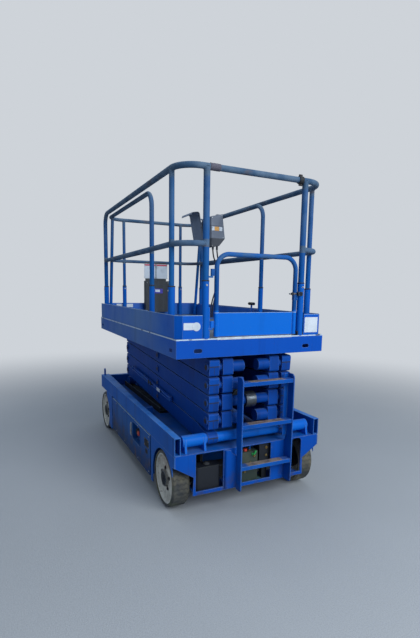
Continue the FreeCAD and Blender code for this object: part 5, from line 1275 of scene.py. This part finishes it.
SIGN_Y = (SIGN_LOW.y + 0.067, SIGN_HIGH.y - 0.067)
UNIT_Y = 0.088 - EXT_Y
STICKERS = [
    ("front_toe_label", (0.190, 0.038, 0.004), (EXT_DECK_FRONT - 0.0032, 0.327, 1.360), 0.0008, "label_white"),
    ("papers_label", (0.108, 0.052, 0.004), (PAPERS_LOW.x - SUNK, -0.032, 1.527), 0.0008, "label_violet"),
    ("papers_label_window", (0.056, 0.028, 0.003), (PAPERS_LOW.x - 0.0008, -0.024, 1.530), 0.0006,
     "label_white"),
] + [
    (f"sign_band_{k}", (0.128, 0.018, 0.002), (SIGN_LOW.x - SUNK, y, SIGN_HIGH.z - 0.013), 0.0006, "label_red")
    for k, y in enumerate(SIGN_Y, 1)
]
UNIT_STICKERS = [
    (f"unit_sticker_{k}", (width, 0.040, 0.002), (CONTROL_FACE - SUNK, UNIT_Y + y, EXT_Z - 0.128), 0.0006,
     finish)
    for k, finish, width, y in ((1, "label_white", 0.030, 0.044), (2, "label_orange", 0.050, 0.003),
                                (3, "label_white", 0.034, -0.041))
]


def sticker(name, size, place, thickness, finish, body="extension"):
    plate = Shape().plate(rounded(*size), place, -X, Z, thickness)
    plate.piece(name, finish, body, "sign_white")


def labels():
    """Blank plates and stickers, where the machine carries them, and their rivets."""
    left = Shape()
    left.plate(rounded(0.098, 0.046, 0.005), (TOE_LOW.x - SUNK, 0.4895, DECK_TOP + 0.082), -X, Z, 0.0008)
    disc = [(0.029 * c, 0.029 * s) for c, s in turns(28)]
    left.plate(disc, (TOE_LOW.x - 0.0006, 0.448, DECK_TOP + 0.080), -X, Z, 0.0008)
    left.piece("rear_label_left", "label_white", "platform", "sign_white")
    sticker("rear_label_right", (0.118, 0.112, 0.004), (TOE_LOW.x - SUNK, -0.4775, DECK_TOP + 0.074), 0.0010,
            "label_white", "platform")
    for row in STICKERS:
        sticker(*row)
    rivets = [(Vector((SIGN_LOW.x, y + dy, z)), -X, 1.0) for y in SIGN_Y for dy in (-0.059, 0.059)
              for z in (SIGN_LOW.z + 0.008, SIGN_HIGH.z - 0.030)]
    rivets += [(Vector((PAPERS_LOW.x, y, z)), -X, 1.3) for y in (PAPERS_LOW.y + 0.014, PAPERS_HIGH.y - 0.014)
               for z in (PAPERS_LOW.z + 0.02, PAPERS_LOW.z + 0.33)]
    fasteners("extension_rivets", "rivet", rivets, "zinc", "extension", 14)


UNIT_SCREWS = ((0.036, 0.000), (0.142, 0.022), (0.018, 0.212), (0.136, 0.300), (0.140, 0.118))
LOCK_PLACE = (EXT_REAR + 0.070, 0.021 - EXT_Y, EXT_FLOOR + 0.179)
GRIP_RIBS = 9


def unit_fittings():
    """Sticker bands and screws on the control unit, and the ribbed grip of the slide lock."""
    for row in UNIT_STICKERS:
        sticker(*row)
    spots = [(Vector((CONTROL_FACE, y - EXT_Y, EXT_Z - z)), -X, 1.0) for y, z in UNIT_SCREWS]
    fasteners("unit_screws", "button_head", spots, "zinc", "extension", 15)
    grip = [(0, 0), (9, 0), (12.5, 1.5), (12.5, 3)]
    for k in range(GRIP_RIBS):
        grip += [(13.2, 5 + 9 * k), (13.2, 9 + 9 * k), (12.0, 10 + 9 * k), (12.0, 13 + 9 * k)]
    grip += [(12.5, 88), (9, 90), (0, 90)]
    turned_piece("lock_grip", grip, LOCK_PLACE, X, 24, "grip_black", "extension", "dark_steel")


photo_camera()
make_materials()
cables()
studio()
floor()
dress_frame()
wheel_fittings()
stack_fittings()
brace_fittings()
rear_fittings()
door_fittings()
rail_welds()
sockets()
rail_wraps()
gate_fittings()
labels()
unit_fittings()
for made_form in FORMS.values():
    bpy.data.objects.remove(made_form)
bpy.context.scene.view_settings.view_transform = "Standard"
